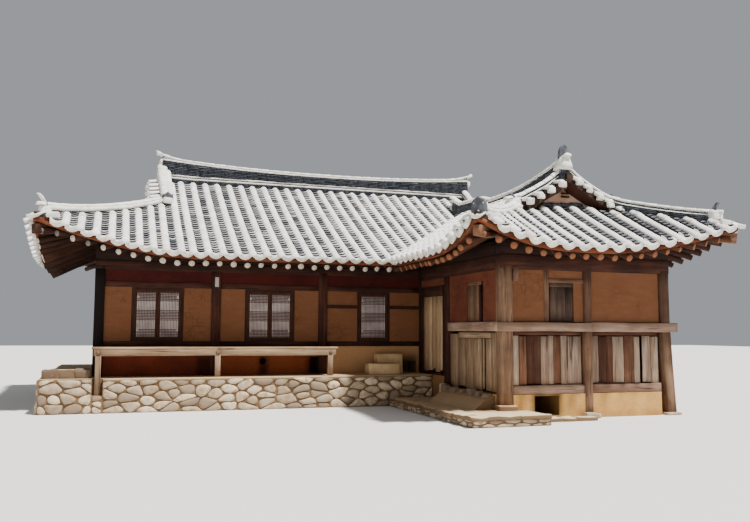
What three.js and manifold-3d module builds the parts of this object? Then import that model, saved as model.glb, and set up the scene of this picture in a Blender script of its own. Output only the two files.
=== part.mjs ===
// Hanok house: an L-shaped timber and mud house under a tiled hip-and-gable roof.
// Millimetres, +Z up. The working frame starts under the left front post, at yard level:
// X runs to the right along the main front, Y runs away from the yard.
import * as THREE from 'three';
import { mergeVertices } from 'three/addons/utils/BufferGeometryUtils.js';
import Module from 'manifold-3d';

const wasm = await Module();
wasm.setup();

// Driving dimensions of the plan
const GAP = 0.3;
const BAY = 2400;
const POST = 200;
const DEPTH = 6000;
const LEFT = -100;
const RIGHT = 10970;
const WING_LEFT = 7150;
const WING_FRONT = -4080;
const INFILL_BACK = 50;
const INFILL = 110;
const CORNER_POST = 260;

// Levels of the main house
const TERRACE_TOP = 670;
const FLOOR_TOP = 1290;
const SILL_TOP = 1400;
const LINTEL_BOTTOM = 2540;
const LINTEL_TOP = 2660;
const PLATE_BOTTOM = 2900;
const PLATE_LIP = 3090;

// Levels of the wing
const WING_BASE_TOP = 460;
const WING_SILL_TOP = 630;
const RAIL_BOTTOM = 1645;
const RAIL_TOP = 1830;
const WING_PLATE_BOTTOM = 2820;

// Driving dimensions of the roof
const EAVE_LEFT = -1240;
const EAVE_RIGHT = 11900;
const EAVE_FRONT = -930;
const EAVE_BACK = DEPTH + 930;
const WING_EAVE_LEFT = 6220;
const WING_EAVE_FRONT = -5010;
const EAVE_TOP = 3260;
const ROOF_THICK = 190;
const SLOPE_AT_EAVE = 0.488;
const SLOPE_GAIN = 0.0000137;
const RIDGE_Y = (EAVE_FRONT + EAVE_BACK) / 2;
const WING_RIDGE_X = (WING_EAVE_LEFT + EAVE_RIGHT) / 2;
const VERGE_LEFT = 1200;
const VERGE_RIGHT = 9940;
const GABLE_INSET = 350;
const WING_VERGE = -3420;
const WING_GABLE = -3100;
const GABLE_THICK = 120;
const SKY = 9000;

// Eave board and rafters
const BOARD_DEEP = 60;
const BOARD_TOP = 90;
const BOARD_BOTTOM = 220;
const RAFTER_R = 66;
const RAFTER_PITCH = 292;
const RAFTER_OUT = 35;
const HIP_RAFTER_WIDE = 170;
const HIP_RAFTER_TALL = 195;
const VALLEY_RAFTER_TALL = 118;

// Colours taken by eye from the house
const DARK_WOOD = { color: 0x3a2418, roughness: 0.8, metalness: 0 };
const GREY_WOOD = { color: 0x6b4f3c, roughness: 0.85, metalness: 0 };
const PALE_WOOD = { color: 0xd9c7a0, roughness: 0.7, metalness: 0 };
const MUD = { color: 0xa8703f, roughness: 0.95, metalness: 0 };
const RED_MUD = { color: 0x5a2a18, roughness: 0.95, metalness: 0 };
const YELLOW_MUD = { color: 0xd0ac70, roughness: 0.95, metalness: 0 };
const STONE = { color: 0xb8a68a, roughness: 0.9, metalness: 0 };
const TILE = { color: 0x8f9396, roughness: 0.75, metalness: 0 };
const RIDGE_TILE = { color: 0x4a5661, roughness: 0.7, metalness: 0 };
const PAPER_DOOR = { color: 0xb9b2a6, roughness: 0.8, metalness: 0 };

// Solids

function solidOf(geometry) {
  const bare = geometry.clone();
  bare.deleteAttribute('normal');
  bare.deleteAttribute('uv');
  const merged = mergeVertices(bare, 0.001);
  return new wasm.Manifold(new wasm.Mesh({
    numProp: 3,
    vertProperties: merged.attributes.position.array,
    triVerts: Uint32Array.from(merged.index.array),
  }));
}

function box(x0, x1, y0, y1, z0, z1) {
  const geometry = new THREE.BoxGeometry(x1 - x0, y1 - y0, z1 - z0);
  geometry.translate((x0 + x1) / 2, (y0 + y1) / 2, (z0 + z1) / 2);
  return solidOf(geometry);
}

// An upright prism over a plan outline
function prism(outline, z0, z1) {
  const shape = new THREE.Shape(outline.map(([x, y]) => new THREE.Vector2(x, y)));
  const geometry = new THREE.ExtrudeGeometry(shape, { depth: z1 - z0, bevelEnabled: false });
  geometry.translate(0, 0, z0);
  return solidOf(geometry);
}

// A solid through sections that all have the same number of points, each convex
function loft(sections) {
  const count = sections[0].length;
  const positions = sections.flat(2);
  const faces = [];
  for (let s = 0; s + 1 < sections.length; s += 1) {
    for (let i = 0; i < count; i += 1) {
      const a = s * count + i;
      const b = s * count + (i + 1) % count;
      faces.push(a, b, b + count, a, b + count, a + count);
    }
  }
  const last = (sections.length - 1) * count;
  for (let i = 1; i + 1 < count; i += 1) {
    faces.push(0, i + 1, i);
    faces.push(last, last + i, last + i + 1);
  }
  return closedSolid(positions, faces);
}

// Faces are turned outward where their order gives a negative volume
function closedSolid(positions, faces) {
  const geometry = new THREE.BufferGeometry();
  geometry.setAttribute('position', new THREE.Float32BufferAttribute(positions, 3));
  const at = (i) => new THREE.Vector3(positions[3 * i], positions[3 * i + 1], positions[3 * i + 2]);
  let volume = 0;
  for (let f = 0; f < faces.length; f += 3) {
    volume += at(faces[f]).dot(at(faces[f + 1]).cross(at(faces[f + 2])));
  }
  const order = volume < 0 ? faces.slice().reverse() : faces;
  geometry.setIndex(order);
  return solidOf(geometry);
}

function join(...solids) {
  return solids.flat().reduce((whole, piece) => whole.add(piece));
}

function cut(solid, ...tools) {
  return tools.flat().reduce((whole, tool) => whole.subtract(tool), solid);
}

const house = new THREE.Group();

function piece(name, solid, finish) {
  const mesh = solid.getMesh();
  const geometry = new THREE.BufferGeometry();
  geometry.setAttribute('position', new THREE.BufferAttribute(mesh.vertProperties, 3));
  geometry.setIndex(new THREE.BufferAttribute(mesh.triVerts, 1));
  geometry.computeVertexNormals();
  const node = new THREE.Mesh(geometry, new THREE.MeshStandardMaterial(finish));
  node.name = name;
  house.add(node);
  return node;
}

// Roof heights

const CORNERS = {
  frontLeft: { x: EAVE_LEFT, y: EAVE_FRONT, lift: 660, reach: 2840, power: 1.5 },
  backLeft: { x: EAVE_LEFT, y: EAVE_BACK, lift: 620, reach: 2840, power: 1.5 },
  backRight: { x: EAVE_RIGHT, y: EAVE_BACK, lift: 600, reach: 2840, power: 1.5 },
  wingLeft: { x: WING_EAVE_LEFT, y: WING_EAVE_FRONT, lift: 480, reach: 1900, power: 2 },
  wingRight: { x: EAVE_RIGHT, y: WING_EAVE_FRONT, lift: 560, reach: 2840, power: 1.5 },
};

const SIDES = {
  front: { inward: (x, y) => y - EAVE_FRONT, runs: 'x', corners: ['frontLeft'] },
  left: { inward: (x) => x - EAVE_LEFT, runs: 'y', corners: ['frontLeft', 'backLeft'] },
  back: { inward: (x, y) => EAVE_BACK - y, runs: 'x', corners: ['backLeft', 'backRight'] },
  right: { inward: (x) => EAVE_RIGHT - x, runs: 'y', corners: ['backRight', 'wingRight'] },
  wingLeft: { inward: (x) => x - WING_EAVE_LEFT, runs: 'y', corners: ['wingLeft'] },
  wingFront: { inward: (x, y) => y - WING_EAVE_FRONT, runs: 'x', corners: ['wingLeft', 'wingRight'] },
};

// The slope steepens a little toward the ridge
function rise(inward) {
  return inward * (SLOPE_AT_EAVE + SLOPE_GAIN * inward);
}

// The eave sweeps up toward a corner, and the whole slope follows it
function cornerLift(corner, away) {
  return corner.lift * Math.max(0, 1 - away / corner.reach) ** corner.power;
}

function roofTop(side, x, y) {
  const { inward, runs, corners } = SIDES[side];
  const here = runs === 'x' ? x : y;
  const lifted = corners.reduce((sum, name) => (
    sum + cornerLift(CORNERS[name], Math.abs(here - CORNERS[name][runs]))), 0);
  return EAVE_TOP + rise(inward(x, y)) + lifted;
}

const RIDGE_TOP_OF_SLOPE = roofTop('front', BAY, RIDGE_Y);
const WING_RIDGE_TOP_OF_SLOPE = roofTop('wingLeft', WING_RIDGE_X, 0);

function steps(from, to, count) {
  return Array.from({ length: count + 1 }, (_, i) => from + (to - from) * i / count);
}

// A slab between two height functions over a grid, trimmed to a plan outline
function slab(side, outline, above, below, cells) {
  const xs = steps(Math.min(...outline.map((p) => p[0])), Math.max(...outline.map((p) => p[0])), cells[0]);
  const ys = steps(Math.min(...outline.map((p) => p[1])), Math.max(...outline.map((p) => p[1])), cells[1]);
  const positions = [];
  for (const offset of [above, below]) {
    for (const y of ys) {
      for (const x of xs) {
        positions.push(x, y, roofTop(side, x, y) + offset);
      }
    }
  }
  const row = xs.length;
  const layer = row * ys.length;
  const faces = [];
  const quad = (a, b, c, d) => faces.push(a, b, c, a, c, d);
  for (let j = 0; j + 1 < ys.length; j += 1) {
    for (let i = 0; i + 1 < row; i += 1) {
      const a = j * row + i;
      quad(a, a + 1, a + row + 1, a + row);
      quad(layer + a, layer + a + row, layer + a + row + 1, layer + a + 1);
    }
  }
  for (let i = 0; i + 1 < row; i += 1) {
    const far = layer - row + i;
    quad(layer + i, layer + i + 1, i + 1, i);
    quad(far, far + 1, layer + far + 1, layer + far);
  }
  for (let j = 0; j + 1 < ys.length; j += 1) {
    const near = j * row;
    const end = near + row - 1;
    quad(near, near + row, layer + near + row, layer + near);
    quad(end, layer + end, layer + end + row, end + row);
  }
  return closedSolid(positions, faces).intersect(prism(outline, 0, SKY));
}

// Plan outlines of the slopes
const HIP_LEFT = VERGE_LEFT - EAVE_LEFT;
const HIP_RIGHT = EAVE_RIGHT - VERGE_RIGHT;
const HIP_WING = WING_VERGE - WING_EAVE_FRONT;
const WING_SPAN = WING_RIDGE_X - WING_EAVE_LEFT;
const VALLEY_TOP_Y = EAVE_FRONT + WING_SPAN;
const VALLEY_VERGE_Y = EAVE_FRONT + HIP_RIGHT;
const UNDER_VERGE = 440;

const FRONT_OUTLINE = [
  [EAVE_LEFT, EAVE_FRONT],
  [WING_EAVE_LEFT, EAVE_FRONT],
  [WING_RIDGE_X, VALLEY_TOP_Y],
  [VERGE_RIGHT, VALLEY_VERGE_Y],
  [VERGE_RIGHT, RIDGE_Y],
  [VERGE_LEFT, RIDGE_Y],
  [VERGE_LEFT, EAVE_FRONT + HIP_LEFT],
];
const BACK_OUTLINE = [
  [EAVE_LEFT, EAVE_BACK],
  [VERGE_LEFT, EAVE_BACK - HIP_LEFT],
  [VERGE_LEFT, RIDGE_Y],
  [VERGE_RIGHT, RIDGE_Y],
  [VERGE_RIGHT, EAVE_BACK - HIP_RIGHT],
  [EAVE_RIGHT, EAVE_BACK],
];
const LEFT_OUTLINE = [
  [EAVE_LEFT, EAVE_FRONT],
  [VERGE_LEFT, EAVE_FRONT + HIP_LEFT],
  [VERGE_LEFT, EAVE_FRONT + HIP_LEFT + UNDER_VERGE],
  [VERGE_LEFT + GABLE_INSET, EAVE_FRONT + HIP_LEFT + UNDER_VERGE + GABLE_INSET],
  [VERGE_LEFT + GABLE_INSET, EAVE_BACK - HIP_LEFT - UNDER_VERGE - GABLE_INSET],
  [VERGE_LEFT, EAVE_BACK - HIP_LEFT - UNDER_VERGE],
  [VERGE_LEFT, EAVE_BACK - HIP_LEFT],
  [EAVE_LEFT, EAVE_BACK],
];
const RIGHT_OUTLINE = [
  [EAVE_RIGHT, WING_EAVE_FRONT],
  [EAVE_RIGHT, EAVE_BACK],
  [VERGE_RIGHT, EAVE_BACK - HIP_RIGHT],
  [VERGE_RIGHT, EAVE_BACK - HIP_RIGHT - UNDER_VERGE],
  [VERGE_RIGHT - GABLE_INSET, EAVE_BACK - HIP_RIGHT - UNDER_VERGE - GABLE_INSET],
  [VERGE_RIGHT - GABLE_INSET, VALLEY_VERGE_Y + UNDER_VERGE + GABLE_INSET],
  [VERGE_RIGHT, VALLEY_VERGE_Y + UNDER_VERGE],
  [VERGE_RIGHT, VALLEY_VERGE_Y],
  [WING_RIDGE_X, VALLEY_TOP_Y],
  [WING_RIDGE_X, WING_VERGE],
  [EAVE_RIGHT - HIP_WING, WING_VERGE],
];
const WING_LEFT_OUTLINE = [
  [WING_EAVE_LEFT, WING_EAVE_FRONT],
  [WING_EAVE_LEFT + HIP_WING, WING_VERGE],
  [WING_RIDGE_X, WING_VERGE],
  [WING_RIDGE_X, VALLEY_TOP_Y],
  [WING_EAVE_LEFT, EAVE_FRONT],
];
const UNDER_WING_VERGE = WING_GABLE - WING_VERGE;
const WING_FRONT_OUTLINE = [
  [WING_EAVE_LEFT, WING_EAVE_FRONT],
  [EAVE_RIGHT, WING_EAVE_FRONT],
  [EAVE_RIGHT - HIP_WING, WING_VERGE],
  [EAVE_RIGHT - HIP_WING - UNDER_VERGE, WING_VERGE],
  [EAVE_RIGHT - HIP_WING - UNDER_VERGE - UNDER_WING_VERGE, WING_GABLE],
  [WING_EAVE_LEFT + HIP_WING + UNDER_VERGE + UNDER_WING_VERGE, WING_GABLE],
  [WING_EAVE_LEFT + HIP_WING + UNDER_VERGE, WING_VERGE],
  [WING_EAVE_LEFT + HIP_WING, WING_VERGE],
];

const SLOPES = [
  { name: 'main_front_slope', side: 'front', outline: FRONT_OUTLINE, cells: [14, 5] },
  { name: 'main_left_slope', side: 'left', outline: LEFT_OUTLINE, cells: [4, 10] },
  { name: 'main_back_slope', side: 'back', outline: BACK_OUTLINE, cells: [16, 5] },
  { name: 'right_slope', side: 'right', outline: RIGHT_OUTLINE, cells: [4, 15] },
  { name: 'wing_left_slope', side: 'wingLeft', outline: WING_LEFT_OUTLINE, cells: [4, 10] },
  { name: 'wing_front_slope', side: 'wingFront', outline: WING_FRONT_OUTLINE, cells: [10, 3] },
];

// A thin upright blade along a hip, valley or ridge, which parts two slopes
function seam([x0, y0], [x1, y1], wide = GAP + 0.1) {
  const long = Math.hypot(x1 - x0, y1 - y0);
  const geometry = new THREE.BoxGeometry(long + 2 * wide, wide, SKY);
  geometry.rotateZ(Math.atan2(y1 - y0, x1 - x0));
  geometry.translate((x0 + x1) / 2, (y0 + y1) / 2, SKY / 2);
  return solidOf(geometry);
}

const SEAMS = [
  seam(FRONT_OUTLINE[0], FRONT_OUTLINE[6]),
  seam(FRONT_OUTLINE[1], FRONT_OUTLINE[2]),
  seam(FRONT_OUTLINE[2], FRONT_OUTLINE[3]),
  seam(FRONT_OUTLINE[4], FRONT_OUTLINE[5]),
  seam(BACK_OUTLINE[0], BACK_OUTLINE[1]),
  seam(BACK_OUTLINE[4], BACK_OUTLINE[5]),
  seam(WING_LEFT_OUTLINE[0], WING_LEFT_OUTLINE[1]),
  seam(WING_LEFT_OUTLINE[2], WING_LEFT_OUTLINE[3]),
  seam(WING_FRONT_OUTLINE[1], WING_FRONT_OUTLINE[2]),
];

// Eaves: where each one starts, which way it runs, and how far in its wall stands
const EAVES = {
  front: {
    start: [EAVE_LEFT, EAVE_FRONT], along: [1, 0], into: [0, 1],
    length: WING_EAVE_LEFT - EAVE_LEFT, wall: -EAVE_FRONT, corner: [LEFT - EAVE_LEFT, 0],
  },
  left: {
    start: [EAVE_LEFT, EAVE_BACK], along: [0, -1], into: [1, 0],
    length: EAVE_BACK - EAVE_FRONT, wall: LEFT - EAVE_LEFT, corner: [EAVE_BACK - DEPTH, -EAVE_FRONT],
  },
  back: {
    start: [EAVE_RIGHT, EAVE_BACK], along: [-1, 0], into: [0, -1],
    length: EAVE_RIGHT - EAVE_LEFT, wall: EAVE_BACK - DEPTH, corner: [EAVE_RIGHT - RIGHT, LEFT - EAVE_LEFT],
  },
  right: {
    start: [EAVE_RIGHT, WING_EAVE_FRONT], along: [0, 1], into: [-1, 0],
    length: EAVE_BACK - WING_EAVE_FRONT, wall: EAVE_RIGHT - RIGHT,
    corner: [WING_FRONT - WING_EAVE_FRONT, EAVE_BACK - DEPTH],
  },
  wingLeft: {
    start: [WING_EAVE_LEFT, EAVE_FRONT], along: [0, -1], into: [1, 0],
    length: EAVE_FRONT - WING_EAVE_FRONT, wall: WING_LEFT - WING_EAVE_LEFT,
    corner: [0, WING_FRONT - WING_EAVE_FRONT],
  },
  wingFront: {
    start: [WING_EAVE_LEFT, WING_EAVE_FRONT], along: [1, 0], into: [0, 1],
    length: EAVE_RIGHT - WING_EAVE_LEFT, wall: WING_FRONT - WING_EAVE_FRONT,
    corner: [WING_LEFT - WING_EAVE_LEFT, EAVE_RIGHT - RIGHT],
  },
};

function eavePoint(side, along, inward) {
  const eave = EAVES[side];
  return [0, 1].map((k) => eave.start[k] + along * eave.along[k] + inward * eave.into[k]);
}

// A bar along the eave that follows its sweep
function eaveBar(side, inner, outer, above, below) {
  const { length } = EAVES[side];
  return loft(steps(0, length, Math.ceil(length / 480)).map((along) => {
    const edge = eavePoint(side, along, 0);
    const top = roofTop(side, edge[0], edge[1]);
    const near = eavePoint(side, along, outer);
    const far = eavePoint(side, along, inner);
    return [
      [...near, top + below], [...far, top + below],
      [...far, top + above], [...near, top + above],
    ];
  }));
}

// The straight log from a point on the eave to a point inside, just under the roof slab
function log(side, from, to, sides, radius = RAFTER_R) {
  const under = ([x, y]) => roofTop(side, x, y) - ROOF_THICK;
  const probes = steps(0, 1, 8);
  const chord = (t) => under(from) * (1 - t) + under(to) * t;
  const dip = Math.max(...probes.map((t) => (
    chord(t) - under([from[0] + (to[0] - from[0]) * t, from[1] + (to[1] - from[1]) * t])
  )));
  const drop = radius * 1.16 + dip + 4;
  const a = new THREE.Vector3(from[0], from[1], under(from) - drop);
  const b = new THREE.Vector3(to[0], to[1], under(to) - drop);
  const span = b.clone().sub(a);
  const geometry = new THREE.CylinderGeometry(radius, radius, span.length(), sides, 1);
  geometry.rotateY(Math.PI / sides);
  const turn = new THREE.Quaternion().setFromUnitVectors(new THREE.Vector3(0, 1, 0), span.normalize());
  geometry.applyQuaternion(turn);
  const middle = a.add(b).multiplyScalar(0.5);
  geometry.translate(middle.x, middle.y, middle.z);
  return solidOf(geometry);
}

// A squared timber on the diagonal, under a hip or a valley, a set drop below the roof's top
function diagonalTimber(side, [x0, y0], [x1, y1], start, end, drop, tall) {
  const dx = Math.sign(x1 - x0) / Math.SQRT2;
  const dy = Math.sign(y1 - y0) / Math.SQRT2;
  const half = HIP_RAFTER_WIDE / 2;
  const corners = [[-half, -tall], [half, -tall], [half, 0], [-half, 0]];
  return loft(steps(start, end, 4).map((run) => {
    const x = x0 + dx * run;
    const y = y0 + dy * run;
    const top = roofTop(side, x, y) - drop;
    return corners.map(([across, up]) => [x + dy * across, y - dx * across, top + up]);
  }));
}

const FAN_INNER = 420;
const FAN_SPREAD = 150;

// Logs under one side: square to the wall along it, and fanned out at a hip corner
function rafters(side, sides) {
  const { length, wall, corner } = EAVES[side];
  const logs = [];
  const count = Math.round(length / RAFTER_PITCH);
  for (let i = 0; i < count; i += 1) {
    const along = length * (i + 0.5) / count;
    const fromEnd = count - 1 - i;
    let inner = along;
    if (corner[0] > 0) inner = Math.max(inner, corner[0] + FAN_INNER + FAN_SPREAD * i);
    if (corner[1] > 0) inner = Math.min(inner, length - corner[1] - FAN_INNER - FAN_SPREAD * fromEnd);
    logs.push(log(side, eavePoint(side, along, RAFTER_OUT), eavePoint(side, inner, wall + FAN_INNER), sides));
  }
  return logs;
}

// Short logs of the main front that start from the valley timber
function valleyRafters() {
  const { length, wall } = EAVES.front;
  return [0.5, 1.5, 2.5].map((i) => {
    const past = i * RAFTER_PITCH;
    const onValley = eavePoint('front', length + past, past);
    const inside = eavePoint('front', length + past, wall + FAN_INNER);
    return log('front', onValley, inside, LOG_SIDES);
  });
}

function board(side) {
  return eaveBar(side, BOARD_DEEP, 0, -BOARD_TOP, -BOARD_BOTTOM);
}

// The rebate that a slope keeps free for its eave board
function boardRebate(side) {
  const grown = 10;
  return eaveBar(side, BOARD_DEEP + GAP, -grown, GAP - BOARD_TOP, -BOARD_BOTTOM - grown);
}

// A side's share of the plan; a hip narrows it inward and a valley widens it
function share(side, [startKind, startTrim], [endKind, endTrim]) {
  const { length, wall } = EAVES[side];
  const turn = { hip: 1, valley: -1 };
  const first = (inward) => turn[startKind] * inward + startTrim * Math.SQRT2;
  const last = (inward) => length - turn[endKind] * inward - endTrim * Math.SQRT2;
  const outside = -100;
  const inside = wall + FAN_INNER + 200;
  const outline = [
    eavePoint(side, first(outside), outside), eavePoint(side, last(outside), outside),
    eavePoint(side, last(inside), inside), eavePoint(side, first(inside), inside),
  ];
  return prism(outline, 0, SKY);
}

const LINE = 0.2;
const OFF_TIMBER = HIP_RAFTER_WIDE / 2 + GAP;
const TIMBER_RUN = 2050;
const TIMBER_START = 25;
const HIP_DROP = ROOF_THICK + HIP_RAFTER_WIDE / 2 * SLOPE_AT_EAVE + 16;
const VALLEY_DROP = ROOF_THICK + 8;

function eaves(side, sides, start, end, timbers = [], extra = []) {
  const logsAndBoard = join(board(side), rafters(side, sides), extra).intersect(share(side, start, end));
  return join(logsAndBoard, timbers);
}

function hipTimber(side, cornerName, toward) {
  const { x, y } = CORNERS[cornerName];
  return diagonalTimber(side, [x, y], toward, TIMBER_START, TIMBER_RUN, HIP_DROP, HIP_RAFTER_TALL);
}

const HOUSE_CENTRE = [WING_LEFT, 0];
const WING_CENTRE = [WING_RIDGE_X, 0];
const valleyTimber = diagonalTimber(
  'front', [WING_EAVE_LEFT, EAVE_FRONT], [WING_LEFT, 0],
  TIMBER_START, TIMBER_RUN, VALLEY_DROP, VALLEY_RAFTER_TALL,
);

const LOG_SIDES = 6;

const EAVE_SOLIDS = {
  front: eaves('front', LOG_SIDES, ['hip', LINE], ['valley', LINE], [
    hipTimber('front', 'frontLeft', HOUSE_CENTRE), valleyTimber,
  ], valleyRafters()),
  left: eaves('left', LOG_SIDES, ['hip', OFF_TIMBER], ['hip', OFF_TIMBER]),
  back: eaves('back', LOG_SIDES, ['hip', LINE], ['hip', LINE], [
    hipTimber('back', 'backRight', HOUSE_CENTRE), hipTimber('back', 'backLeft', HOUSE_CENTRE),
  ]),
  right: eaves('right', LOG_SIDES, ['hip', OFF_TIMBER], ['hip', OFF_TIMBER]),
  wingLeft: eaves('wingLeft', LOG_SIDES, ['valley', OFF_TIMBER], ['hip', OFF_TIMBER]),
  wingFront: eaves('wingFront', LOG_SIDES, ['hip', LINE], ['hip', LINE], [
    hipTimber('wingFront', 'wingLeft', WING_CENTRE), hipTimber('wingFront', 'wingRight', WING_CENTRE),
  ]),
};

const EAVE_NAMES = {
  front: 'main_front_rafters',
  left: 'main_left_rafters',
  back: 'main_back_rafters',
  right: 'right_rafters',
  wingLeft: 'wing_left_rafters',
  wingFront: 'wing_front_rafters',
};

for (const [side, name] of Object.entries(EAVE_NAMES)) {
  piece(name, EAVE_SOLIDS[side], GREY_WOOD);
}

for (const { name, side, outline, cells } of SLOPES) {
  piece(name, cut(slab(side, outline, 0, -ROOF_THICK, cells), SEAMS, boardRebate(side)), TILE);
}

// The roof body without seams, used to trim what stands on it or under it
function roofBody(above, below) {
  return join(SLOPES.map(({ side, outline, cells }) => slab(side, outline, above, below, cells)));
}

const TRIM_DEEP = 600;
const underTrim = roofBody(200, -ROOF_THICK - GAP);
const overTrim = roofBody(GAP, -TRIM_DEEP);

// The lowest point of the logs where they cross a wall; it is read where the eave runs level
function plateTop(side, x0, x1, y0, y1) {
  const crossing = EAVE_SOLIDS[side].intersect(box(x0, x1, y0, y1, 0, SKY));
  return crossing.boundingBox().min[2] - GAP;
}

const LEVEL_EAVE = {
  front: [1700, 5900],
  left: [2000, 4000],
  back: [1700, 8900],
  right: [-2000, 4000],
  wingLeft: [-3000, -1000],
  wingFront: [8150, 9050],
};
const FRONT_PLATE = plateTop('front', ...LEVEL_EAVE.front, 0, POST);
const LEFT_PLATE = plateTop('left', LEFT, LEFT + POST, ...LEVEL_EAVE.left);
const BACK_PLATE = plateTop('back', ...LEVEL_EAVE.back, DEPTH - POST, DEPTH);
const RIGHT_PLATE = plateTop('right', RIGHT - POST, RIGHT, ...LEVEL_EAVE.right);
const WING_LEFT_PLATE = plateTop('wingLeft', WING_LEFT, WING_LEFT + POST, ...LEVEL_EAVE.wingLeft);
const WING_FRONT_PLATE = plateTop('wingFront', ...LEVEL_EAVE.wingFront, WING_FRONT, WING_FRONT + POST);

// Ridges

const SUNK = 70;

// A bar of stacked ridge tiles along stations [x, y, height above the slope, slope height]
function ridgeBar(stations, wide) {
  const half = wide / 2;
  const crown = half * 0.55;
  const shoulder = 60;
  const solid = loft(stations.map(([x, y, tall, base], i) => {
    const [ax, ay] = stations[Math.max(0, i - 1)];
    const [bx, by] = stations[Math.min(stations.length - 1, i + 1)];
    const long = Math.hypot(bx - ax, by - ay);
    const across = [(by - ay) / long, -(bx - ax) / long];
    const top = base + tall;
    const section = [
      [-half, base - SUNK], [half, base - SUNK], [half, top - shoulder],
      [crown, top], [-crown, top], [-half, top - shoulder],
    ];
    return section.map(([n, z]) => [x + across[0] * n, y + across[1] * n, z]);
  }));
  return cut(solid, overTrim);
}

const RIDGE_WIDE = 280;
const RIDGE_TALL = 462;
const RIDGE_END_LIFT = 180;
const RIDGE_SWEEP = 2.2;
const WING_RIDGE_WIDE = 240;
const DESCENDING_WIDE = 230;
const DESCENDING_TALL = 270;
const DESCENDING_END_LIFT = 60;
const HIP_WIDE = 210;
const HIP_TALL = 210;
const HIP_TIP = 70;
const HIP_TAPER = 40;
const IN_FROM_VERGE = 250;
const RIDGE_FROM = VERGE_LEFT + 40;
const RIDGE_TO = VERGE_RIGHT - 40;

piece('main_ridge', ridgeBar(steps(-1, 1, 12).map((t) => (
  [(RIDGE_FROM + RIDGE_TO) / 2 + t * (RIDGE_TO - RIDGE_FROM) / 2, RIDGE_Y,
    RIDGE_TALL + RIDGE_END_LIFT * Math.abs(t) ** RIDGE_SWEEP, RIDGE_TOP_OF_SLOPE]
)), RIDGE_WIDE), RIDGE_TILE);

// From the ridge down the slope beside the verge
function descending(side, [x0, y0], [x1, y1], tall = DESCENDING_TALL) {
  const stations = steps(0, 1, 4).map((t) => {
    const x = x0 + (x1 - x0) * t;
    const y = y0 + (y1 - y0) * t;
    return [x, y, tall + DESCENDING_END_LIFT * (2 * t - 1) ** 4, roofTop(side, x, y)];
  });
  return ridgeBar(stations, DESCENDING_WIDE);
}

// From the foot of the gable out to the corner, swept up at its tip
function hip(side, [x0, y0], corner) {
  const { x: x1, y: y1 } = CORNERS[corner];
  const inset = 40;
  const reach = 1 - inset / Math.hypot(x1 - x0, y1 - y0);
  const stations = steps(0, reach, 6).map((t) => {
    const x = x0 + (x1 - x0) * t;
    const y = y0 + (y1 - y0) * t;
    return [x, y, HIP_TALL + HIP_TIP * t ** 5 - HIP_TAPER * t, roofTop(side, x, y)];
  });
  return ridgeBar(stations, HIP_WIDE);
}

const BESIDE_RIDGE = RIDGE_WIDE / 2 + GAP;
const DOWN_LEFT_X = VERGE_LEFT + IN_FROM_VERGE;
const DOWN_RIGHT_X = VERGE_RIGHT - IN_FROM_VERGE;
const ABOVE_CORNER = 60;
const ABOVE_VALLEY = 330;
const FOOT_LEFT = EAVE_FRONT + HIP_LEFT + ABOVE_CORNER;
const FOOT_BACK_LEFT = EAVE_BACK - HIP_LEFT - ABOVE_CORNER;
const FOOT_BACK_RIGHT = EAVE_BACK - HIP_RIGHT - ABOVE_CORNER;
const HIP_BACK = 130;

piece('front_left_ridges', join(
  descending('front', [DOWN_LEFT_X, RIDGE_Y - BESIDE_RIDGE], [DOWN_LEFT_X, FOOT_LEFT]),
  hip('front', [VERGE_LEFT + HIP_BACK, EAVE_FRONT + HIP_LEFT + HIP_BACK], 'frontLeft'),
), RIDGE_TILE);
piece('back_left_ridges', join(
  descending('back', [DOWN_LEFT_X, RIDGE_Y + BESIDE_RIDGE], [DOWN_LEFT_X, FOOT_BACK_LEFT]),
  hip('back', [VERGE_LEFT + HIP_BACK, EAVE_BACK - HIP_LEFT - HIP_BACK], 'backLeft'),
), RIDGE_TILE);
piece('back_right_ridges', join(
  descending('back', [DOWN_RIGHT_X, RIDGE_Y + BESIDE_RIDGE], [DOWN_RIGHT_X, FOOT_BACK_RIGHT]),
  hip('back', [VERGE_RIGHT - HIP_BACK, EAVE_BACK - HIP_RIGHT - HIP_BACK], 'backRight'),
), RIDGE_TILE);
piece('front_right_ridge', descending(
  'front', [DOWN_RIGHT_X, RIDGE_Y - BESIDE_RIDGE], [DOWN_RIGHT_X, VALLEY_VERGE_Y + ABOVE_VALLEY],
), RIDGE_TILE);

// The wing's ridge runs back onto the main slope
const WING_RIDGE_BACK = 2250;
const WING_RIDGE_FRONT = WING_VERGE + 40;
const WING_RIDGE_TALL = 175;
const WING_FRONT_LIFT = 370;
const WING_BACK_LIFT = 90;

function wingRidgeStation(t) {
  const y = WING_RIDGE_FRONT + (WING_RIDGE_BACK - WING_RIDGE_FRONT) * t;
  const base = Math.max(WING_RIDGE_TOP_OF_SLOPE, roofTop('front', WING_RIDGE_X, y));
  const frontLift = WING_FRONT_LIFT * Math.max(0, 1 - t / 0.55) ** RIDGE_SWEEP;
  const backLift = WING_BACK_LIFT * Math.max(0, (t - 0.5) / 0.5) ** 2;
  return [WING_RIDGE_X, y, WING_RIDGE_TALL + frontLift + backLift, base];
}

piece('wing_ridge', ridgeBar(steps(0, 1, 12).map(wingRidgeStation), WING_RIDGE_WIDE), RIDGE_TILE);

const BESIDE_WING_RIDGE = WING_RIDGE_WIDE / 2 + GAP;
const DOWN_WING_Y = WING_VERGE + 200;
const FOOT_WING_LEFT = WING_EAVE_LEFT + HIP_WING + ABOVE_CORNER;
const FOOT_WING_RIGHT = EAVE_RIGHT - HIP_WING - ABOVE_CORNER;
const WING_DOWN_TALL = 230;

const WING_DOWN_TOP_LEFT = [WING_RIDGE_X - BESIDE_WING_RIDGE, DOWN_WING_Y];
const WING_DOWN_TOP_RIGHT = [WING_RIDGE_X + BESIDE_WING_RIDGE, DOWN_WING_Y];

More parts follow.
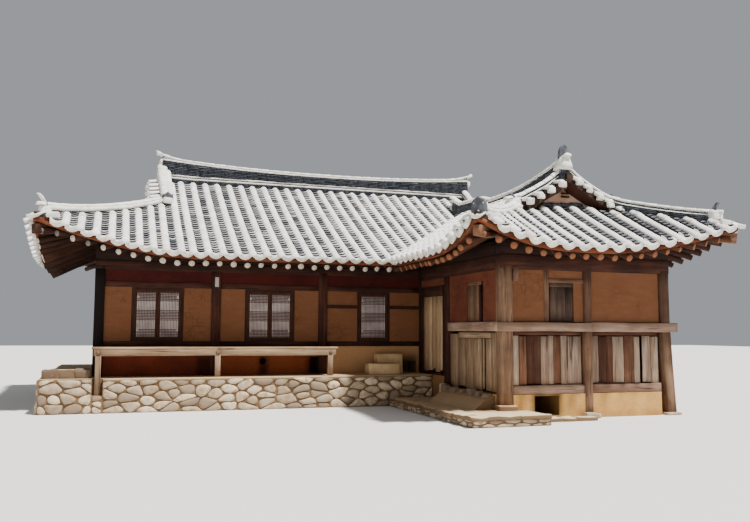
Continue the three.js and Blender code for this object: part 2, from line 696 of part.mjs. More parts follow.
piece('wing_left_ridges', join(
  descending('wingLeft', WING_DOWN_TOP_LEFT, [FOOT_WING_LEFT, DOWN_WING_Y], WING_DOWN_TALL),
  hip('wingLeft', [WING_EAVE_LEFT + HIP_WING + HIP_BACK, WING_VERGE + HIP_BACK], 'wingLeft'),
), RIDGE_TILE);
piece('wing_right_ridges', join(
  descending('right', WING_DOWN_TOP_RIGHT, [FOOT_WING_RIGHT, DOWN_WING_Y], WING_DOWN_TALL),
  hip('right', [EAVE_RIGHT - HIP_WING - HIP_BACK, WING_VERGE + HIP_BACK], 'wingRight'),
), RIDGE_TILE);

// Gable walls: an upright slab whose top lies inside the roof until it is trimmed
function gable(side, centre, { half, foot }, place, from, to) {
  const under = steps(-1, 1, 8).map((t) => {
    const away = centre - half * Math.abs(t);
    const [x, y] = place(0, away);
    return [centre + half * t, roofTop(side, x, y) - ROOF_THICK / 2];
  });
  const outline = [[centre + half, foot], ...under.reverse(), [centre - half, foot]];
  const sections = [from, to].map((at) => outline.map(([across, z]) => [...place(at, across), z]));
  return cut(loft(sections), underTrim);
}

const alongY = (at, across) => [at, across];
const alongX = (at, across) => [across, at];
const MAIN_GABLE_SIZE = { half: 1200, foot: 4440 };
const WING_GABLE_SIZE = { half: 900, foot: 4100 };
const LEFT_GABLE_X = VERGE_LEFT + GABLE_INSET + GAP;
const RIGHT_GABLE_X = VERGE_RIGHT - GABLE_INSET - GAP;

piece('main_left_gable', gable(
  'front', RIDGE_Y, MAIN_GABLE_SIZE, alongY, LEFT_GABLE_X, LEFT_GABLE_X + GABLE_THICK,
), MUD);
piece('main_right_gable', gable(
  'front', RIDGE_Y, MAIN_GABLE_SIZE, alongY, RIGHT_GABLE_X - GABLE_THICK, RIGHT_GABLE_X,
), MUD);
piece('wing_gable', gable(
  'wingLeft', WING_RIDGE_X, WING_GABLE_SIZE, alongX, WING_GABLE + GAP, WING_GABLE + GAP + GABLE_THICK,
), MUD);

// Timber frames, each a list of boxes [x0, x1, y0, y1, z0, z1]

const boxes = (list, grow = 0) => join(list.map(([x0, x1, y0, y1, z0, z1]) => (
  box(x0 - grow, x1 + grow, y0 - grow, y1 + grow, z0 - grow, z1 + grow))));

const INSET = 20;
const RECESS = 30;

// A squared wall beam with the purlin on it that the logs rest on
function plate(x0, x1, y0, y1, bottom, top, lip) {
  const alongTheX = x1 - x0 > y1 - y0;
  const dx = alongTheX ? 0 : INSET;
  const dy = alongTheX ? INSET : 0;
  return [[x0, x1, y0, y1, bottom, lip], [x0 + dx, x1 - dx, y0 + dy, y1 - dy, lip - 5, top]];
}

const POST_FOOT = TERRACE_TOP + GAP;
const KITCHEN_FOOT = WING_BASE_TOP + GAP;
const POST_HEAD = PLATE_BOTTOM + 50;
const FRONT_POSTS = [LEFT, BAY - POST / 2, 2 * BAY - POST / 2, WING_LEFT];
const [P1, P2, P3, P4] = FRONT_POSTS;
const BACK_Y = DEPTH - POST;
const MID_Y = DEPTH / 2 - POST / 2;
const BACK_POSTS = [P1, P2, P3, P4, 8900];
const BACK_END = RIGHT - POST - GAP;

const mainFrontFrame = [
  ...FRONT_POSTS.map((x) => [x, x + POST, 0, POST, POST_FOOT, POST_HEAD]),
  ...[P1, P2, P3].flatMap((x, i) => [
    [x + POST - 5, FRONT_POSTS[i + 1] + 5, RECESS, POST - RECESS, FLOOR_TOP + GAP, SILL_TOP],
    [x + POST - 5, FRONT_POSTS[i + 1] + 5, RECESS, POST - RECESS, LINTEL_BOTTOM, LINTEL_TOP],
  ]),
  ...plate(LEFT, P4 + POST, 0, POST, PLATE_BOTTOM, FRONT_PLATE, PLATE_LIP),
];
const mainLeftFrame = [
  [LEFT, LEFT + POST, MID_Y, MID_Y + POST, POST_FOOT, POST_HEAD],
  [LEFT + RECESS, LEFT + POST - RECESS, POST + GAP, BACK_Y - GAP, FLOOR_TOP + GAP, SILL_TOP],
  [LEFT + RECESS, LEFT + POST - RECESS, POST + GAP, BACK_Y - GAP, LINTEL_BOTTOM, LINTEL_TOP],
  ...plate(LEFT, LEFT + POST, POST + GAP, BACK_Y - GAP, PLATE_BOTTOM, LEFT_PLATE, PLATE_LIP),
];
const mainBackFrame = [
  ...BACK_POSTS.map((x) => [x, x + POST, BACK_Y, DEPTH, x < WING_LEFT ? POST_FOOT : KITCHEN_FOOT, POST_HEAD]),
  [LEFT, BACK_END, BACK_Y + RECESS, DEPTH - RECESS, FLOOR_TOP + GAP, SILL_TOP],
  [LEFT, BACK_END, BACK_Y + RECESS, DEPTH - RECESS, LINTEL_BOTTOM, LINTEL_TOP],
  ...plate(LEFT, BACK_END, BACK_Y, DEPTH, PLATE_BOTTOM, BACK_PLATE, PLATE_LIP),
];

piece('main_front_frame', boxes(mainFrontFrame), DARK_WOOD);
piece('main_left_frame', boxes(mainLeftFrame), DARK_WOOD);
piece('main_back_frame', boxes(mainBackFrame), DARK_WOOD);

// The wing's front posts run down past its plastered base to the yard
const WING_MID_Y = -1640;
const WING_INNER = WING_FRONT + POST;
const WING_CORNER_X = WING_LEFT + CORNER_POST;
const WING_MID_X = 8970;
const WING_MID_END = WING_MID_X + 170;
const RIGHT_POST_X = RIGHT - 235;
const RIGHT_POSTS = [WING_MID_Y, 0, MID_Y, BACK_Y];
const WING_LIP = WING_PLATE_BOTTOM + 280;
const WING_POST_HEAD = WING_PLATE_BOTTOM + 50;
const SIDE_START = WING_INNER + GAP;

const rightFrame = [
  ...RIGHT_POSTS.map((y) => [RIGHT - POST, RIGHT, y, y + POST, KITCHEN_FOOT, WING_POST_HEAD]),
  [RIGHT - POST + RECESS, RIGHT - RECESS, SIDE_START, DEPTH, KITCHEN_FOOT, WING_SILL_TOP],
  [RIGHT - POST + RECESS, RIGHT - RECESS, SIDE_START, DEPTH, RAIL_BOTTOM, RAIL_TOP],
  ...plate(RIGHT - POST, RIGHT, SIDE_START, DEPTH, WING_PLATE_BOTTOM, RIGHT_PLATE, WING_LIP),
];
piece('right_frame', boxes(rightFrame), GREY_WOOD);

// Kitchen doorway in the wing's left wall: its leaf turns on wooden pivots
const KITCHEN_NEAR = -1280;
const KITCHEN_FAR = -100;
const KITCHEN_HEAD = 2440;
const KITCHEN_SILL = TERRACE_TOP + 50;
const PIVOT_R = 11;
const PIVOT_HOLE_R = 12;
const PIVOT_LONG = 22;
const KITCHEN_LEAF_THICK = 30;
const KITCHEN_LEAF_X = WING_LEFT + 65;
const KITCHEN_PIVOT = [KITCHEN_LEAF_X + KITCHEN_LEAF_THICK / 2, KITCHEN_NEAR + 30];
const CLEAR = 6;

function upright(x, y, z0, z1, radius, sides) {
  const geometry = new THREE.CylinderGeometry(radius, radius, z1 - z0, sides, 1);
  geometry.rotateX(Math.PI / 2);
  geometry.translate(x, y, (z0 + z1) / 2);
  return solidOf(geometry);
}

const LEAF_Z0 = KITCHEN_SILL + CLEAR;
const LEAF_Z1 = KITCHEN_HEAD - CLEAR;
const JAMB_X0 = WING_LEFT + RECESS;
const JAMB_X1 = WING_LEFT + POST - RECESS;

const wingLeftFrame = [
  [WING_LEFT, WING_LEFT + POST, WING_MID_Y, WING_MID_Y + POST, KITCHEN_FOOT, WING_POST_HEAD],
  [JAMB_X0, JAMB_X1, KITCHEN_FAR, -GAP, POST_FOOT, LINTEL_TOP],
  [JAMB_X0, JAMB_X1, WING_MID_Y + POST - 5, KITCHEN_NEAR, POST_FOOT, LINTEL_TOP],
  [JAMB_X0, JAMB_X1, KITCHEN_NEAR - 5, KITCHEN_FAR + 5, KITCHEN_HEAD, LINTEL_TOP],
  [JAMB_X0, JAMB_X1, KITCHEN_NEAR - 5, KITCHEN_FAR + 5, POST_FOOT, KITCHEN_SILL],
  [WING_LEFT, WING_LEFT + POST, SIDE_START, WING_MID_Y + 5, RAIL_BOTTOM, RAIL_TOP],
  ...plate(WING_LEFT, WING_LEFT + POST, SIDE_START, -GAP, WING_PLATE_BOTTOM, WING_LEFT_PLATE, WING_LIP),
];
piece('wing_left_frame', cut(
  boxes(wingLeftFrame),
  upright(...KITCHEN_PIVOT, LEAF_Z0 - PIVOT_LONG - GAP, KITCHEN_SILL + 10, PIVOT_HOLE_R, 12),
  upright(...KITCHEN_PIVOT, KITCHEN_HEAD - 10, LEAF_Z1 + PIVOT_LONG + GAP, PIVOT_HOLE_R, 12),
), DARK_WOOD);

const KITCHEN_LEAF_NEAR = KITCHEN_PIVOT[1] - 20;
const KITCHEN_LEAF_BACK = KITCHEN_LEAF_X + KITCHEN_LEAF_THICK;
piece('kitchen_door', join(
  box(KITCHEN_LEAF_X, KITCHEN_LEAF_BACK, KITCHEN_LEAF_NEAR, KITCHEN_FAR - CLEAR, LEAF_Z0, LEAF_Z1),
  upright(...KITCHEN_PIVOT, LEAF_Z0 - PIVOT_LONG, LEAF_Z1 + PIVOT_LONG, PIVOT_R, 12),
), PALE_WOOD);

// The wing's front, with a plank shutter beside an upright
const FRONT_IN = WING_FRONT + RECESS;
const SHUTTER_POST = [8110, 8210];
const SHUTTER = { x0: 8250, x1: 8760, z0: RAIL_TOP, z1: 2580 };
const HEADER_TOP = 2660;
const UPRIGHT_DEEP = 90;
const RAIL_ENDS = [WING_LEFT - 90, RIGHT + 160];

const wingFrontFrame = [
  [WING_LEFT, WING_CORNER_X, WING_FRONT, WING_INNER, 0, WING_POST_HEAD],
  [WING_MID_X, WING_MID_END, WING_FRONT, WING_INNER, 0, WING_POST_HEAD],
  [RIGHT_POST_X, RIGHT, WING_FRONT, WING_INNER, 0, WING_POST_HEAD],
  [WING_CORNER_X - 5, RIGHT_POST_X + 5, FRONT_IN, WING_INNER, KITCHEN_FOOT, WING_SILL_TOP],
  [...RAIL_ENDS, WING_FRONT - 25, WING_FRONT + 120, RAIL_BOTTOM, RAIL_TOP],
  [...SHUTTER_POST, FRONT_IN, FRONT_IN + UPRIGHT_DEEP, RAIL_TOP - 5, WING_PLATE_BOTTOM + 5],
  [SHUTTER_POST[1] - 5, WING_MID_X + 5, FRONT_IN, FRONT_IN + UPRIGHT_DEEP, SHUTTER.z1, HEADER_TOP],
  ...plate(WING_LEFT, RIGHT, WING_FRONT, WING_INNER, WING_PLATE_BOTTOM, WING_FRONT_PLATE, WING_LIP),
];
piece('wing_front_frame', boxes(wingFrontFrame), GREY_WOOD);

// Stone and earth

const TERRACE_FRONT = -800;
const TERRACE_LEFT = -1050;
const TERRACE_BACK = DEPTH + 500;
const KERB = { x0: -1000, x1: -120, y0: -560, y1: -200, top: 840 };
const LEG_NICHE = { x0: -70, x1: 130, y1: -640, bottom: 340 };

piece('main_terrace', cut(
  join(
    box(TERRACE_LEFT, WING_LEFT - GAP, TERRACE_FRONT, TERRACE_BACK, 0, TERRACE_TOP),
    box(KERB.x0, KERB.x1, KERB.y0, KERB.y1, TERRACE_TOP - 5, KERB.top),
  ),
  box(LEG_NICHE.x0, LEG_NICHE.x1, TERRACE_FRONT - 10, LEG_NICHE.y1, LEG_NICHE.bottom, TERRACE_TOP + 10),
), STONE);

const aroundPost = (x0, x1) => (
  box(x0 - GAP, x1 + GAP, WING_FRONT - 10, WING_INNER + GAP, -10, WING_BASE_TOP + 10));
const WING_FIREBOX = { x0: 7860, x1: 8390, deep: 900, z0: 60, z1: 430 };
piece('wing_base', cut(
  join(
    box(WING_LEFT + GAP, RIGHT, WING_FRONT + 20, TERRACE_BACK, 0, WING_BASE_TOP),
    box(WING_LEFT + GAP, WING_LEFT + POST, WING_MID_Y + POST + GAP, BACK_Y - GAP,
      WING_BASE_TOP - 5, TERRACE_TOP),
  ),
  aroundPost(WING_LEFT - 10, WING_CORNER_X),
  aroundPost(WING_MID_X, WING_MID_END),
  aroundPost(RIGHT_POST_X, RIGHT + 10),
  box(WING_FIREBOX.x0, WING_FIREBOX.x1, WING_FRONT - 10, WING_FRONT + WING_FIREBOX.deep,
    WING_FIREBOX.z0, WING_FIREBOX.z1),
), YELLOW_MUD);

const PLATFORM = { x0: 6120, x1: 7650, y0: -4990, top: 180 };
const LOW_PLATFORM = { x1: 8900, y0: -4560, y1: -4380, top: 60 };
// Mud heaped on the platform along the foot of the wing's board wall
const BANK = { x0: 6700, x1: 6950, y0: -3840, y1: -1700, low: 170, middle: 360, high: 430 };
const bank = loft([BANK.y0, BANK.y1].map((y) => [
  [BANK.x0, y, BANK.low], [WING_LEFT - GAP, y, BANK.low],
  [WING_LEFT - GAP, y, BANK.high], [BANK.x1, y, BANK.middle],
]));
piece('wing_platform', join(
  bank,
  box(PLATFORM.x0, WING_LEFT - GAP, PLATFORM.y0, TERRACE_FRONT - GAP, 0, PLATFORM.top),
  box(WING_LEFT - 5, PLATFORM.x1, PLATFORM.y0, WING_FRONT - GAP, 0, PLATFORM.top),
  box(PLATFORM.x1 - 5, LOW_PLATFORM.x1, LOW_PLATFORM.y0, LOW_PLATFORM.y1, 0, LOW_PLATFORM.top),
), STONE);

// Two steps up from the terrace to the floor of door 3
const FIRST_STEP = { x0: 5700, x1: 6420, y0: -650, y1: -300, top: 920 };
const SECOND_STEP = { x0: 6000, x1: 6620, y0: -305, y1: INFILL_BACK - GAP, top: 1130 };
piece('stepping_stone', join([FIRST_STEP, SECOND_STEP].map((step) => (
  box(step.x0, step.x1, step.y0, step.y1, TERRACE_TOP + GAP, step.top)))), STONE);

const postCuts = [...FRONT_POSTS.map((x) => [x, 0]), ...BACK_POSTS.map((x) => [x, BACK_Y]), [LEFT, MID_Y]]
  .map(([x, y]) => box(x - GAP, x + POST + GAP, y - GAP, y + POST + GAP, 600, SILL_TOP));

const FLUE = { x: 3454, z: 967, r: 75, deep: 400 };
const flueHole = upright(0, 0, 0, FLUE.deep, FLUE.r, 12).rotate([-90, 0, 0]).translate([FLUE.x, 0, FLUE.z]);
const RIGHT_FIREBOX = { x0: 6750, x1: 7080, deep: 600, z0: 690, z1: 940 };
const MIDDLE_FIREBOX = { x0: 4520, deep: 500, z0: 710, z1: 1050 };

piece('heated_floor', cut(
  box(LEFT + INFILL_BACK, WING_LEFT - GAP, INFILL_BACK, DEPTH - INFILL_BACK, TERRACE_TOP + GAP, FLOOR_TOP),
  postCuts,
  box(RIGHT_FIREBOX.x0, RIGHT_FIREBOX.x1, 0, RIGHT_FIREBOX.deep, RIGHT_FIREBOX.z0, RIGHT_FIREBOX.z1),
  box(MIDDLE_FIREBOX.x0, P3 - GAP, 0, MIDDLE_FIREBOX.deep, MIDDLE_FIREBOX.z0, MIDDLE_FIREBOX.z1),
  flueHole,
), RED_MUD);

// Bench along the two rooms, its first leg on a ledge below the terrace
const BENCH = { x0: -100, x1: 4950, front: -730, bottom: 1250, top: 1290 };
const BENCH_BEAM = { inset: 40, front: -725, back: -640, bottom: 1110 };
const BENCH_LEG = { middles: [30, 2370, 4790], half: 58, front: -728, back: -645, top: 1120 };
piece('bench', join(
  box(BENCH.x0, BENCH.x1, BENCH.front, -GAP, BENCH.bottom, BENCH.top),
  box(BENCH.x0 + BENCH_BEAM.inset, BENCH.x1 - BENCH_BEAM.inset, BENCH_BEAM.front, BENCH_BEAM.back,
    BENCH_BEAM.bottom, BENCH.bottom + 5),
  BENCH_LEG.middles.map((x, i) => box(
    x - BENCH_LEG.half, x + BENCH_LEG.half, BENCH_LEG.front, BENCH_LEG.back,
    i === 0 ? LEG_NICHE.bottom + GAP : POST_FOOT, BENCH_LEG.top,
  )),
), PALE_WOOD);

// Mud walls

const WALL_Y = [INFILL_BACK, INFILL_BACK + INFILL];
const SKIN = POST + GAP;
const SKIN_DEEP = 60;

function frontPanel(x0, x1, z0, z1) {
  return box(x0 + GAP, x1 - GAP, ...WALL_Y, z0 + GAP, z1 - GAP);
}

// The coat of mud that joins two panels behind the post between them
function behindPost(post, z0, z1) {
  const lap = 80;
  return join(
    box(post - lap, post + POST + lap, SKIN, SKIN + SKIN_DEEP, z0 + GAP, z1 - GAP),
    [post - lap, post + POST + GAP].map((x) => (
      box(x, x + lap - GAP, WALL_Y[0] + 20, SKIN + SKIN_DEEP, z0 + GAP, z1 - GAP))),
  );
}

const DOORS = [
  { name: 'door_1', x0: 640, x1: 1720, leaves: 2 },
  { name: 'door_2', x0: 3030, x1: 4150, leaves: 2 },
  { name: 'door_3', x0: 5620, x1: 6420, leaves: 1 },
];
const [D1, D2, D3] = DOORS;
const PANEL = [SILL_TOP, LINTEL_BOTTOM];
const UPPER = [LINTEL_TOP, PLATE_BOTTOM];

piece('front_wall_left_end', frontPanel(P1 + POST, D1.x0, ...PANEL), MUD);
piece('front_wall_between_doors_1_2', join(
  frontPanel(D1.x1, P2, ...PANEL), frontPanel(P2 + POST, D2.x0, ...PANEL), behindPost(P2, ...PANEL),
), MUD);
piece('front_wall_between_doors_2_3', join(
  frontPanel(D2.x1, P3, ...PANEL), frontPanel(P3 + POST, D3.x0, ...PANEL), behindPost(P3, ...PANEL),
), MUD);
piece('front_wall_right_end', frontPanel(D3.x1, P4, ...PANEL), MUD);
piece('front_wall_upper', join(
  frontPanel(P1 + POST, P2, ...UPPER),
  frontPanel(P2 + POST, P3, ...UPPER),
  frontPanel(P3 + POST, P4, ...UPPER),
  behindPost(P2, ...UPPER), behindPost(P3, ...UPPER),
), RED_MUD);

const WALL_INNER = 60;
const WALL_Z = [FLOOR_TOP + GAP, PLATE_BOTTOM - GAP];
piece('main_left_wall', cut(join(
  box(LEFT + INFILL_BACK, LEFT + POST, POST + 2 * GAP, BACK_Y - 2 * GAP, ...WALL_Z),
  box(LEFT + POST - 5, LEFT + POST + WALL_INNER, POST + WALL_INNER + 5, BACK_Y - WALL_INNER - GAP, ...WALL_Z),
), boxes(mainLeftFrame, GAP)), RED_MUD);

const BACK_WALL_END = RIGHT - POST - WALL_INNER - 2 * GAP;
const BACK_WALL_Y = [BACK_Y - WALL_INNER, DEPTH - INFILL_BACK];
piece('main_back_wall', cut(
  join(
    box(LEFT + POST + GAP, BACK_WALL_END, ...BACK_WALL_Y, ...WALL_Z),
    box(WING_LEFT + GAP, BACK_WALL_END, ...BACK_WALL_Y, TERRACE_TOP + GAP, FLOOR_TOP + 5),
  ),
  boxes(mainBackFrame, GAP),
  box(WING_LEFT - 10, P4 + POST + GAP, BACK_WALL_Y[0] - 10, DEPTH, 0, FLOOR_TOP + 2 * GAP),
), RED_MUD);

piece('right_wall', cut(
  box(RIGHT - POST - WALL_INNER, RIGHT - INFILL_BACK, SIDE_START + GAP, DEPTH - GAP,
    KITCHEN_FOOT, WING_PLATE_BOTTOM - GAP),
  boxes(rightFrame, GAP),
  boxes(mainBackFrame, GAP),
), MUD);

const WING_WALL_X = [WING_LEFT + INFILL_BACK, WING_LEFT + INFILL_BACK + INFILL];
const LEFT_WINDOW = { slit: -3250, near: -3120, far: -2500, top: 2640 };
const STRIP_TOP = [LINTEL_TOP + GAP, WING_PLATE_BOTTOM - GAP];
const STRIP_BACK = WING_LEFT + POST + 60;
const STRIP_LAP = 80;
const MID_NEAR = WING_MID_Y - STRIP_LAP;
const MID_FAR = WING_MID_Y + POST + STRIP_LAP;

// The panel beside the shutter and the one over the doorway, with a strip behind the post between them
piece('wing_left_wall', cut(
  join(
    box(...WING_WALL_X, SIDE_START + GAP, WING_MID_Y - GAP, RAIL_TOP + GAP, WING_PLATE_BOTTOM - GAP),
    box(...WING_WALL_X, WING_MID_Y + POST + GAP, -2 * GAP, ...STRIP_TOP),
    box(WING_WALL_X[1] - 20, STRIP_BACK, MID_NEAR, WING_MID_Y - GAP, ...STRIP_TOP),
    box(WING_WALL_X[1] - 20, STRIP_BACK, WING_MID_Y + POST + GAP, MID_FAR, ...STRIP_TOP),
    box(WING_LEFT + POST + GAP, STRIP_BACK, MID_NEAR, MID_FAR, ...STRIP_TOP),
  ),
  box(WING_LEFT, STRIP_BACK, LEFT_WINDOW.slit, LEFT_WINDOW.far, RAIL_TOP - 10, LEFT_WINDOW.top),
), MUD);
piece('wing_left_shutter', box(
  WING_LEFT + 70, WING_LEFT + 110, LEFT_WINDOW.near, LEFT_WINDOW.far - GAP,
  RAIL_TOP + GAP, LEFT_WINDOW.top - GAP,
), GREY_WOOD);
piece('wing_left_boards', box(
  WING_LEFT + 60, WING_LEFT + 100, SIDE_START + GAP, WING_MID_Y - GAP, KITCHEN_FOOT, RAIL_BOTTOM - GAP,
), GREY_WOOD);

const WING_WALL_Y = [WING_FRONT + INFILL_BACK, WING_FRONT + INFILL_BACK + 130];
const BEHIND_MID = [WING_INNER + GAP, WING_INNER + 40];

// A strip behind the wing's middle post with an arm on each side of it
function behindMid(y0, z0, z1) {
  const lap = 70;
  return join(
    box(WING_MID_X - lap, WING_MID_END + lap, ...BEHIND_MID, z0, z1),
    box(WING_MID_X - lap, WING_MID_X - GAP, y0, BEHIND_MID[1], z0, z1),
    box(WING_MID_END + GAP, WING_MID_END + lap, y0, BEHIND_MID[1], z0, z1),
  );
}

piece('wing_front_wall', cut(
  join(
    box(WING_CORNER_X + GAP, WING_MID_X - GAP, ...WING_WALL_Y, RAIL_TOP + GAP, WING_PLATE_BOTTOM - GAP),
    box(WING_MID_END + GAP, RIGHT_POST_X - GAP, ...WING_WALL_Y, RAIL_TOP + GAP, WING_PLATE_BOTTOM - GAP),
    behindMid(WING_WALL_Y[0] + 20, HEADER_TOP + 2 * GAP, WING_PLATE_BOTTOM - GAP),
  ),
  boxes(wingFrontFrame, GAP),
  box(SHUTTER_POST[1] + GAP, SHUTTER.x1 + GAP, WING_FRONT - 10, WING_INNER + 100,
    SHUTTER.z0 - 10, SHUTTER.z1),
), MUD);
piece('wing_front_shutter', box(
  SHUTTER.x0, SHUTTER.x1, WING_FRONT + 60, WING_FRONT + 100, SHUTTER.z0 + GAP, SHUTTER.z1 - GAP,
), GREY_WOOD);

const BOARDS_Y = [WING_FRONT + 80, WING_FRONT + 120];
piece('wing_front_boards', join(
  box(WING_CORNER_X + GAP, WING_MID_X - GAP, ...BOARDS_Y, WING_SILL_TOP + GAP, RAIL_BOTTOM - GAP),
  box(WING_MID_END + GAP, RIGHT_POST_X - GAP, ...BOARDS_Y, WING_SILL_TOP + GAP, RAIL_BOTTOM - GAP),
  behindMid(BOARDS_Y[0] + 10, 1100, 1200),
), GREY_WOOD);

// Lattice doors on knuckle hinges, each leaf a frame with a thinner field

const JAMB = 60;
const FRAME_Y = [50, 150];
const HEAD = 50;
const SILL_RAIL = 40;
const LEAF_Y = [62, 98];
const LEAF_CLEAR = 5;
const MEETING = 11;
const LATCH_CLEAR = 8;
const STILE = 48;
const FIELD_Y = [74, 86];
const KNUCKLE_R = 9;
const KNUCKLE_LONG = 45;
const HINGE_Y = 48;
const HINGE_IN = 14;
const HINGE_LEVELS = [0.16, 0.84];
const DOOR_Z0 = SILL_TOP + SILL_RAIL + LEAF_CLEAR + 1;
const DOOR_Z1 = LINTEL_BOTTOM - HEAD - LEAF_CLEAR - 1;
const hingeZ = (level) => DOOR_Z0 + (DOOR_Z1 - DOOR_Z0) * level;

// The frame's knuckle carries the leaf's knuckle, which sits on top of it
function frameKnuckles(x, into) {
  const [start, end] = [x, x - into * 34].sort((a, b) => a - b);
  return HINGE_LEVELS.map((level) => join(
    upright(x, HINGE_Y, hingeZ(level) - KNUCKLE_LONG, hingeZ(level), KNUCKLE_R, 8),
    box(start, end, HINGE_Y - 6, HINGE_Y + 6, hingeZ(level) - KNUCKLE_LONG, hingeZ(level)),
  ));
}

function leafKnuckles(x, into) {
  const [start, end] = [x - into * 4, x + into * 70].sort((a, b) => a - b);
  return HINGE_LEVELS.map((level) => join(
    upright(x, HINGE_Y, hingeZ(level) + GAP, hingeZ(level) + KNUCKLE_LONG, KNUCKLE_R, 8),
    box(start, end, HINGE_Y + 4, LEAF_Y[0] + 4, hingeZ(level) + GAP, hingeZ(level) + KNUCKLE_LONG),
  ));
}

function leaf(x0, x1) {
  return cut(
    box(x0, x1, ...LEAF_Y, DOOR_Z0, DOOR_Z1),
    box(x0 + STILE, x1 - STILE, LEAF_Y[0] - 1, FIELD_Y[0], DOOR_Z0 + STILE, DOOR_Z1 - STILE),
    box(x0 + STILE, x1 - STILE, FIELD_Y[1], LEAF_Y[1] + 1, DOOR_Z0 + STILE, DOOR_Z1 - STILE),
  );
}

function doorFrame(door) {
  const { x0, x1 } = door;
  const ring = cut(
    box(x0, x1, ...FRAME_Y, SILL_TOP + GAP, LINTEL_BOTTOM - GAP),
    box(x0 + JAMB, x1 - JAMB, 0, 300, SILL_TOP + SILL_RAIL, LINTEL_BOTTOM - HEAD),
  );
  const hinges = frameKnuckles(x0 + JAMB + HINGE_IN, 1);
  return join(ring, hinges, door.leaves === 2 ? frameKnuckles(x1 - JAMB - HINGE_IN, -1) : []);
}

const CROSS_BEAM = [2150, 2230];
const CROSS_BEAM_FRONT = 24;
const crossBeams = [
  box(P3 + POST + GAP, D3.x0 + JAMB / 2, CROSS_BEAM_FRONT, INFILL_BACK - GAP, ...CROSS_BEAM),
  box(D3.x0 + 5, D3.x0 + JAMB / 2, CROSS_BEAM_FRONT, FRAME_Y[0] + 20, ...CROSS_BEAM),
  box(D3.x1 - JAMB / 2, P4 - GAP, CROSS_BEAM_FRONT, INFILL_BACK - GAP, ...CROSS_BEAM),
  box(D3.x1 - JAMB / 2, D3.x1 - 5, CROSS_BEAM_FRONT, FRAME_Y[0] + 20, ...CROSS_BEAM),
];

for (const door of DOORS) {
  const { name, x0, x1, leaves } = door;
  const left = x0 + JAMB;
  const right = x1 - JAMB;
  const middle = (left + right) / 2;
  const frameSolid = name === 'door_3' ? join(doorFrame(door), crossBeams) : doorFrame(door);
  piece(`${name}_frame`, frameSolid, DARK_WOOD);
  if (leaves === 2) {
    piece(`${name}_left_leaf`, join(
      leaf(left + LEAF_CLEAR, middle - MEETING / 2), leafKnuckles(left + HINGE_IN, 1),
    ), PAPER_DOOR);
    piece(`${name}_right_leaf`, join(
      leaf(middle + MEETING / 2, right - LEAF_CLEAR), leafKnuckles(right - HINGE_IN, -1),
    ), PAPER_DOOR);
  } else {
    piece(`${name}_leaf`, join(
      leaf(left + LEAF_CLEAR, right - LATCH_CLEAR), leafKnuckles(left + HINGE_IN, 1),
    ), PAPER_DOOR);
  }
}

// The part's own frame: its origin is under the middle of the whole house
const bounds = new THREE.Box3().setFromObject(house);
const middleOfHouse = bounds.getCenter(new THREE.Vector3());
house.position.set(-middleOfHouse.x, -middleOfHouse.y, -bounds.min.z);
house.updateMatrixWorld(true);

export default house;
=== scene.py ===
import math
import random
from collections import namedtuple

import bmesh
import bpy
from mathutils import Matrix, Vector, noise
from mathutils.bvhtree import BVHTree


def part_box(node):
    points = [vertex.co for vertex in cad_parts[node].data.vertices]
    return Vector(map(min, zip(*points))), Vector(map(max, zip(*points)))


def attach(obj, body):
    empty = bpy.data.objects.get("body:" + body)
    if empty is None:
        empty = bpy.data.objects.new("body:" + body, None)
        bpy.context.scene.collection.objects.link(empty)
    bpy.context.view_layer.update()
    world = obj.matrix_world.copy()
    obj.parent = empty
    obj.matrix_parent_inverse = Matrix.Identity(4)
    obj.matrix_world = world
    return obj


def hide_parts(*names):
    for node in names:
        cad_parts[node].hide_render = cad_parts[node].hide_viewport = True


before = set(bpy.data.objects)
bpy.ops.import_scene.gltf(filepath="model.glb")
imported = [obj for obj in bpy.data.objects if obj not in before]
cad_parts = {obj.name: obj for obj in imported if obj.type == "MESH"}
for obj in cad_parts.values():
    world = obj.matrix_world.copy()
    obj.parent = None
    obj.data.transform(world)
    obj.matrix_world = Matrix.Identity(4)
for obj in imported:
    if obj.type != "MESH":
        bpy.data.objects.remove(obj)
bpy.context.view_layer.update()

# The viewpoint: a person in the yard, a little left of the house, looks up at it.
# Plan places are given in metres from under the left front post, on the line of the front wall.
post_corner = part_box("main_front_frame")[0]
HOUSE = Vector((post_corner[0] + 0.1, post_corner[1], 0.0))


def spot(x, y, z):
    return HOUSE + Vector((x, y, z))


def view_axes(yaw, pitch, roll):
    ahead = Vector((math.sin(yaw) * math.cos(pitch), math.cos(yaw) * math.cos(pitch), math.sin(pitch)))
    level = Vector((math.cos(yaw), -math.sin(yaw), 0))
    over = level.cross(ahead)
    right = math.cos(roll) * level + math.sin(roll) * over
    up = -math.sin(roll) * level + math.cos(roll) * over
    return Matrix((right, up, -ahead)).transposed()


eye = bpy.data.cameras.new("yard_view")
eye.sensor_width = 36.0
eye.lens = 1.0396 * eye.sensor_width
eye_object = bpy.data.objects.new("yard_view", eye)
eye_object.matrix_world = Matrix.Translation(spot(0.291, -17.189, 1.626)) @ view_axes(
    math.radians(18.474), math.radians(5.176), math.radians(0.289)).to_4x4()
bpy.context.scene.collection.objects.link(eye_object)
bpy.context.scene.camera = eye_object

